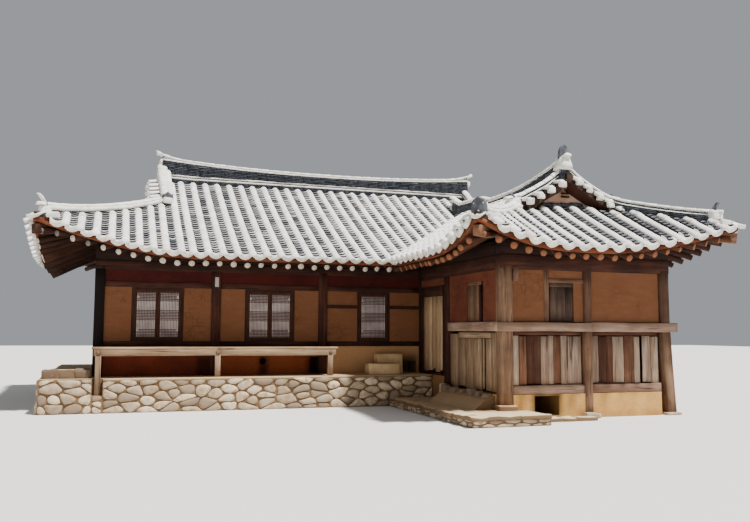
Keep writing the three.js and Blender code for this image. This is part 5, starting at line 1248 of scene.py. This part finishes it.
tilted = random.Random(77)
for number, (side, eave) in enumerate(eaves.items()):
    over = height_over(eave.slope)
    places = row_places[side]
    covers = [row_line(side, over, along, cut_at_top(side, along)) for along in places]
    middles = [(a + b) / 2 for a, b in zip(places, places[1:])]
    middles = [2 * places[0] - middles[0]] + middles + [2 * places[-1] - middles[-1]]
    troughs = [row_line(side, over, along, 0.06, overhang=0.0) for along in middles]
    if side == "right":
        # short rows in the angle between the wing's ridge and the main house's gable
        for lines, x, y in ((covers, 9.80, 1.11), (covers, 9.50, 1.38), (troughs, 9.86, 0.96), (troughs, 9.62, 1.25)):
            steps = [x - ROW_STEP * i for i in range(round((x - 9.22) / ROW_STEP))]
            lines.append([spot(step, y, over(step, y)) for step in steps])
    covers, troughs = [line for line in covers if line], [line for line in troughs if line]
    grown(eave.slope + "_cover_tiles", lines_mesh("covers", covers, -0.008), along_rows, cover_clay, "roof_tile",
          Form=cover_form, Spacing=COVER_LAP, Unevenness=0.025, Seed=11 + number)
    grown(eave.slope + "_trough_tiles", lines_mesh("troughs", troughs, -0.012), along_rows, trough_clay, "roof_tile",
          Form=trough_form, Spacing=TROUGH_LAP, Unevenness=0.03, Seed=31 + number)
    ends = Heap()
    for line in covers:
        set_form(ends, HEAD, line[-1] + UP * 0.004, line[-1] - line[-2], tilted.random())
    start, into = Vector(eave.start), Vector(eave.into)
    for lines, form, lift, back in ((covers, PLUG, -0.012, 0.105), (troughs, DRIP, -0.008, 0.066)):
        for line in lines:
            ahead = line[2] - line[1]
            if abs((line[0].xy - HOUSE.xy - start).dot(into)) < 0.12:
                origin = line[0] - ahead.normalized() * back + UP * lift
                set_form(ends, form, origin, ahead + UP * tilted.uniform(-0.004, 0.004), tilted.random())
    add_piece(eave.slope + "_eave_ends", ends, lime, "roof_tile")


# Gable ends. A mud wall closes each one, and short cover tiles lie across the verges, their
# ends plugged with lime that has run together into lumps.
gable_mud = mud_wall("gable_mud", (204, 170, 148), (170, 130, 108), (208, 176, 150), (104, 70, 54))
dress(gable_mud, "main_left_gable", "main_right_gable", "wing_gable")
VERGE_TILE = half_round(0.30, 0.16, 0.075)
VERGE_PITCH, PLUG_HALF = 0.235, 0.078
verge_tiles, verge_ends = Heap(), Heap()
# the slope, the verge's top and foot in the plan, and the way out over it
verge_runs = [
    ("main_front_slope", (1.22, 2.78), (1.22, 1.62), (-1, 0)), ("main_back_slope", (1.22, 3.22), (1.22, 4.38), (-1, 0)),
    ("main_front_slope", (9.92, 2.78), (9.92, 1.15), (1, 0)), ("main_back_slope", (9.92, 3.22), (9.92, 4.85), (1, 0)),
    ("wing_left_slope", (8.86, -3.40), (7.86, -3.40), (0, -1)), ("right_slope", (9.26, -3.40), (10.26, -3.40), (0, -1)),
]
for slope, top, foot, out in verge_runs:
    over = height_over(slope)
    top, foot, out = Vector(top), Vector(foot), Vector(out)
    count = round((foot - top).length / VERGE_PITCH)
    droop = 0.13 if slope == "right_slope" else 0.05
    # the left verge stands further out, and its lumps are smaller
    reach, below, above = (0.08, 0.03, 0.035) if top.x < 2 else (0.0, 0.045, 0.06)
    for i in range(count + 1):
        place = top.lerp(foot, i / count)
        z = over(*(place - out * 0.03))
        if z is None:
            continue
        ahead = -Vector((*out, -2.4 * droop + tilted.uniform(-0.05, 0.0)))
        origin = spot(*(place + out * (reach - 0.02)), z + 0.03 - droop * 0.4)
        set_form(verge_tiles, VERGE_TILE, origin, ahead, tilted.random(), roll=tilted.uniform(-0.1, 0.1))
        plug = spot(*(place + out * (reach + 0.14)), z + 0.01 - droop)
        half = Vector([0.04 if way else PLUG_HALF for way in out] + [0.0])
        high = plug + half + UP * (above + tilted.uniform(0, 0.02))
        block(verge_ends, plug - half - UP * below, high, 0.05, 0.035, i + top.x * 3, tilted.random())
add_piece("verge_tiles", verge_tiles, cover_clay, "roof_tile")
add_piece("verge_plaster", verge_ends, lime, "roof_tile")


# Two short slats of split wood across the little vent in the wing's gable wall. They are
# set into the mud, and smoke has blackened them.
slats = Heap()
for z in (4.44, 4.51):
    beam(slats, 9.08, 9.26, -3.175, -3.13, z, z + 0.03, seed=760 + int(z * 100), rough=0.002, tint=1.0)
add_piece("gable_slats", slats, smoked, "dark_wood")


# Row of dark cover tiles along the foot of each gable wall, where it stands on the slope
# under it. The row sags a little between its ends.
dark_clay = Finish("dark_tile", 0.8)
dark_cloud = dark_clay.noise(12.0, 5.0, 0.65)
dark_tone = dark_clay.mix(dark_clay.own("tint"), (42, 48, 57), (72, 74, 82))
dark_clay.colour(dark_clay.mix(dark_cloud.above(0.55, 0.15) * 0.5, dark_tone, (118, 122, 126)))
dark_clay.relief(dark_cloud, 0.01, 0.6)
FOOT_TILE = half_round(0.25, 0.17, 0.085)
gable_feet = Heap()
foot_runs = [("wing_front_slope", (8.10, -3.16), (10.02, -3.16)), ("main_left_slope", (1.49, 1.85), (1.49, 4.15)),
             ("right_slope", (9.66, 1.85), (9.66, 4.15))]
for slope, start, end in foot_runs:
    over = height_over(slope)
    start, end = Vector(start), Vector(end)
    count = round((end - start).length / 0.24)
    for i in range(count):
        part = (i + 0.5) / count
        place = start.lerp(end, part)
        z = over(*place)
        if z is not None:
            sag = 0.025 * (2 * part - 1) ** 2
            set_form(gable_feet, FOOT_TILE, spot(*place, z + 0.02 - sag), (end - start).to_3d(), tilted.random())
add_piece("gable_foot_tiles", gable_feet, dark_clay, "roof_tile")


# Ridges, built up of flat tiles in courses with lime between, under a row of cover tiles.
# Each ends in an upright arched tile that curls outward, set in a mass of lime.
PLATE_TILE = hollow_plate(0.30, 1.0, -0.02, 0.016, 0.014, 0.0)
COURSE, COURSE_PITCH = 0.04, 0.302
cap_form = template("ridge_cap_tile", *half_round(TILE, 0.185, 0.062))
everywhere = height_over(*(eave.slope for eave in eaves.values()))


def end_tile(heap, foot, ahead, wide, tall, lean, tint, rows=8, columns=10):
    """An upright tile, arched at the top, that closes the end of a ridge."""
    side = ahead.cross(UP).normalized()
    points = []
    for thick in (0.0, -0.03):
        for r in range(rows + 1):
            t = r / rows
            half = wide / 2 * max(0.12, math.sqrt(max(0.0, 1 - t ** 3.4)))
            for c in range(columns + 1):
                s = 2 * c / columns - 1
                curl = lean * tall * t ** 1.7 - 0.045 * s * s
                points.append(foot + side * (s * half) + UP * (tall * t) + ahead * (curl + thick))
    n = columns + 1
    size = n * (rows + 1)
    faces = []
    for r in range(rows):
        for c in range(columns):
            a = r * n + c
            faces += [(a, a + 1, a + n + 1, a + n), (size + a, size + a + n, size + a + n + 1, size + a + 1)]
    edge = list(range(n)) + [r * n + columns for r in range(1, rows + 1)]
    edge += [rows * n + c for c in range(columns - 1, -1, -1)] + [r * n for r in range(rows - 1, 0, -1)]
    faces += [(a, size + a, size + b, b) for a, b in zip(edge, edge[1:] + edge[:1])]
    heap.add(points, faces, tint)


def ridge_path(node, start, end):
    """Places along a ridge, each with the slope's height and the ridge's own height."""
    over = height_over(node)
    start, end = Vector(start), Vector(end)
    heading = (end - start).normalized()
    across = Vector((heading.y, -heading.x))
    count = max(3, int((end - start).length / 0.22))
    path = []
    for i in range(count + 1):
        place = start.lerp(end, 0.012 + 0.976 * i / count)
        top = over(*place)
        bases = [everywhere(*(place + across * side)) for side in (-0.07, 0.07)]
        bases = [b for b in bases if b is not None]
        if top is not None and bases:
            path.append((place, min(bases), top))
    return path, across


def band_along(heap, path, across, half_low, half_high, low, high, rounding=0.0, tint=0.5, lumps=0.0):
    """One layer of a ridge. A low edge under -0.1 and a high edge of 0 or less are measured
    from the ridge's top, and the others from the slope."""
    stations = []
    for place, base, top in path:
        z0 = base + low if low >= -0.1 else top + low
        z1 = max(base + high if high > 0 else top + high, z0 + 0.01)
        swell = 1 + lumps * noise.noise(Vector((place.x * 3, place.y * 3, z0 * 5)))
        hl, hh = half_low * swell, half_high * swell
        shoulder = z1 - rounding
        section = [(-hl, z0), (hl, z0), (hh, shoulder)]
        if rounding:
            cheek = z1 - rounding * 0.4
            section += [(hh * 0.8, cheek), (hh * 0.4, z1), (-hh * 0.4, z1), (-hh * 0.8, cheek)]
        section.append((-hh, shoulder))
        stations.append([spot(*(place + across * n), z) for n, z in section])
    closed_path(heap, stations, tint)


def lay_courses(heap, path, heading, across, low, high, wide):
    """Flat tiles in level courses, from above the slope to under the ridge's top."""
    form = ([(x, y * wide, z) for x, y, z in PLATE_TILE[0]], PLATE_TILE[1])
    tallest = max(top - base for _, base, top in path)
    total = (path[-1][0] - path[0][0]).length
    level = low
    while level < tallest + high:
        run = 0.14
        while run < total:
            place = path[0][0] + heading * run
            index = min(range(len(path)), key=lambda k: (path[k][0] - place).length)
            here, base, top = path[index]
            if base + level < top + high - 0.012:
                before, after = path[max(index - 1, 0)], path[min(index + 1, len(path) - 1)]
                rise = (after[1] - before[1]) / max((after[0] - before[0]).length, 0.01)
                z = base + level + rise * (run - (here - path[0][0]).length)
                origin = spot(*(place + across * tilted.uniform(-0.012, 0.012)), z + 0.016)
                set_form(heap, form, origin, Vector((*heading, rise)), tilted.random(), tilted.uniform(-0.03, 0.03))
            run += COURSE_PITCH
        level += COURSE


ridge_runs = {
    "main_ridge": [("main", (1.24, 3.0), (9.90, 3.0))],
    "wing_ridge": [("wing", (9.06, -3.38), (9.06, 2.25))],
    "front_left_ridges": [("fat", (1.40, 2.86), (1.40, 1.57)), ("hip", (1.33, 1.64), (-1.24, -0.93))],
    "back_left_ridges": [("fat", (1.40, 3.14), (1.40, 4.43)), ("hip", (1.33, 4.36), (-1.24, 6.93))],
    "front_right_ridge": [("layered", (9.69, 2.86), (9.69, 1.36))],
    "back_right_ridges": [("layered", (9.69, 3.14), (9.69, 4.91)), ("hip", (9.81, 4.84), (11.9, 6.93))],
    "wing_left_ridges": [("layered", (8.94, -3.22), (7.87, -3.22)), ("shield", (7.94, -3.29), (6.22, -5.01))],
    "wing_right_ridges": [("layered", (9.18, -3.22), (10.25, -3.22)), ("banded", (10.18, -3.29), (11.62, -4.73))],
}
ridge_looks = {
    # core half-width, layers of lime (half-width, from, to), courses (from, to, width), how far the cap is lowered
    "main": (0.10, [(0.15, 0.10, 0.145), (0.145, 0.165, 0.21), (0.10, -0.105, -0.055)], [(0.205, -0.105, 0.27)], 0.0),
    "wing": (0.085, [(0.11, 0.03, 0.07), (0.09, -0.105, -0.055)], [(0.07, -0.105, 0.24)], 0.0),
    "layered": (0.08, [(0.11, -0.05, 0.03), (0.10, -0.13, -0.10)], [(0.03, -0.13, 0.21)], 0.0),
    "banded": (0.08, [(0.105, -0.125, -0.095)], [(0.0, -0.12, 0.20)], 0.0),
    "fat": (0.12, [(0.145, -0.05, -0.045)], [], 0.0),
    "hip": (0.085, [(0.115, -0.15, -0.05)], [(0.0, -0.15, 0.20)], 0.04),
}
ridge_looks["shield"] = ridge_looks["hip"]
ridge_ends = {
    # the upright tile's width and height, its lean outward, how far its foot is under the
    # ridge's top, and how far it stands ahead of the ridge's end
    "main": (0.14, 0.15, 0.9, 0.01, 0.035), "wing": (0.26, 0.30, 0.06, 0.07, 0.035),
    "fat": (0.25, 0.16, 0.02, 0.21, 0.17), "layered": (0.20, 0.16, 0.3, 0.12, 0.035),
    "banded": (0.12, 0.19, 0.5, 0.04, 0.035), "hip": (0.16, 0.26, 0.5, 0.10, 0.035),
    "shield": (0.30, 0.27, 0.12, 0.20, 0.16),
}


def close_end(kind, station, out, plaster, dark, number):
    """The upright tile at the end of a ridge, and the mass of lime under or behind it."""
    place, base, top = station
    wide, tall, lean, drop, set_out = ridge_ends[kind]
    out = out.to_3d()
    foot_z = top - drop
    foot = spot(*place, foot_z) + out * set_out
    faces_to = out
    if kind in ("hip", "banded"):
        faces_to = Vector((math.copysign(1.0, out.x), out.y * 0.2, 0)).normalized()
    # on the main ridge and the hips a lime copy stands in front of this dark tile, so its rear reads dark: painted
    # shade
    end_tile(dark, foot, faces_to, wide, tall, lean, 0.9)
    if kind in ("main", "hip"):
        end_tile(plaster, foot + faces_to * 0.018 + UP * 0.004, faces_to, wide + 0.006, tall, lean, 0.1)
    if kind == "fat":
        low = foot - Vector((0.11, 0.10, foot.z - base + 0.02))
        block(plaster, low, foot + Vector((0.11, 0.06, 0.015)), 0.05, 0.02, number, 0.5)
    elif kind == "wing":
        spread = [(0.155, -0.22), (0.15, -0.12), (0.125, -0.04), (0.105, 0.03)]
        corners = ((-1, -0.6), (-0.6, -1), (0.6, -1), (1, -0.6), (1, 1), (-1, 1))
        sections = [[foot + Vector((a * half, b * half + 0.06, z)) for a, b in corners] for half, z in spread]
        closed_path(plaster, sections)
    else:
        half, lime_top = (0.085, -0.06) if kind == "main" else (0.12, 0.03)
        low = spot(*place, max(base - 0.02, foot_z - 0.26)) - Vector((half, half, 0))
        high = spot(*place, foot_z + lime_top) + Vector((half, half, 0))
        block(plaster, low, high, 0.07, 0.03, number + top, 0.5)


def join_to_main(plaster, path, across):
    """The neck of lime by which a fat ridge comes down from the main ridge."""
    joined = height_over("main_ridge")(1.45, 3.0) - 0.20
    away = math.copysign(1.0, path[0][0].y - 3.0)
    neck = []
    for k in range(5):
        t = k / 4
        place = Vector((1.33 + 0.06 * t, 3.0 + away * (0.10 + 0.7 * t)))
        neck.append((place, path[min(k, 3)][1], joined + (path[3][2] - joined) * t ** 0.8))
    band_along(plaster, neck, across, 0.125, 0.115, -0.05, -0.001, rounding=0.04, lumps=0.16)


for number, (node, runs) in enumerate(ridge_runs.items()):
    plaster, dark, caps = Heap(), Heap(), []
    for kind, start, end in runs:
        core, lime_layers, courses, lowered = ridge_looks[kind]
        path, across = ridge_path(node, start, end)
        heading = Vector((-across.y, across.x))
        path = [(place, base, top - lowered) for place, base, top in path]
        if kind == "wing":
            # it stands higher where it has come up to the main house
            path = [(place, base, top + 0.12 * min(1.0, max(0.0, place.y / 0.5))) for place, base, top in path]
        band_along(dark, path, across, core, core * 0.85, -0.05, -0.075, tint=0.2)
        for half, low, high in lime_layers:
            band_along(plaster, path, across, half, half * 0.92, low, high, rounding=0.02, lumps=0.16)
        for low, high, wide in courses:
            lay_courses(dark, path, heading, across, low, high, wide)
        for shift in (-0.055, 0.055) if kind == "fat" else (0.0,):
            caps.append([spot(*(place + across * shift), top - 0.058) for place, _, top in reversed(path)])
        if kind == "main":
            # its caps turn up at both ends
            for step, raised in enumerate((0.075, 0.03, 0.008)):
                for k in (step, -1 - step):
                    caps[-1][k] = caps[-1][k] + UP * raised
        if kind in ("main", "wing"):
            close_end(kind, path[0], -heading, plaster, dark, number)
        if kind != "wing":
            close_end(kind, path[-1], heading, plaster, dark, number)
        if kind == "fat":
            join_to_main(plaster, path, across)
    add_piece(node + "_plaster", plaster, lime, "ridge_tile", instead_of=node)
    add_piece(node + "_courses", dark, dark_clay, "ridge_tile")
    grown(node + "_cap_tiles", lines_mesh("caps", caps), along_rows, cover_clay, "ridge_tile",
          Form=cap_form, Spacing=COVER_LAP, Unevenness=0.02, Seed=51 + number)


# Last tiles at the corners of the roof. Each swings down over the hip's tip, dished, with an
# upturned end, and a lump of lime closes the angle on either side of it.
corner_tiles = Heap()
# how far ahead of the corner, how high over it, and half as wide as the tile there
swing = ((-0.46, 0.235, 0.05), (-0.38, 0.12, 0.08), (-0.28, 0.04, 0.11), (-0.16, -0.01, 0.13), (-0.05, -0.05, 0.13),
         (0.04, -0.085, 0.115), (0.10, -0.09, 0.085), (0.135, -0.065, 0.045))
roof_corners = ((-1.24, -0.93, -1, -1), (-1.24, 6.93, -1, 1), (11.90, 6.93, 1, 1), (6.22, -5.01, -1, -1),
                (11.90, -5.01, 1, -1))
for x, y, dx, dy in roof_corners:
    out = Vector((dx, dy, 0)).normalized()
    side = out.cross(UP)
    z = everywhere(x - dx * 0.05, y - dy * 0.08)
    stations = []
    for ahead, height, half in swing:
        middle = spot(x, y, z - 0.03 + height) + out * ahead
        upper = [middle + side * (half * s) + UP * (half * 0.45 * s * s) for s in (-1, -0.5, 0, 0.5, 1)]
        stations.append(upper + [p - UP * 0.035 for p in reversed(upper)])
    closed_path(corner_tiles, stations, 0.3)
    for back_x, back_y in ((0.34, 0.06), (0.06, 0.34)):
        lump_x, lump_y = x - dx * back_x, y - dy * back_y
        level = everywhere(lump_x, lump_y)
        low, high = spot(lump_x - 0.13, lump_y - 0.13, level - 0.04), spot(lump_x + 0.13, lump_y + 0.13, level + 0.085)
        block(corner_tiles, low, high, 0.07, 0.03, x - dx * back_x, 0.4)
add_piece("corner_tiles", corner_tiles, lime, "roof_tile")

bpy.context.view_layer.update()
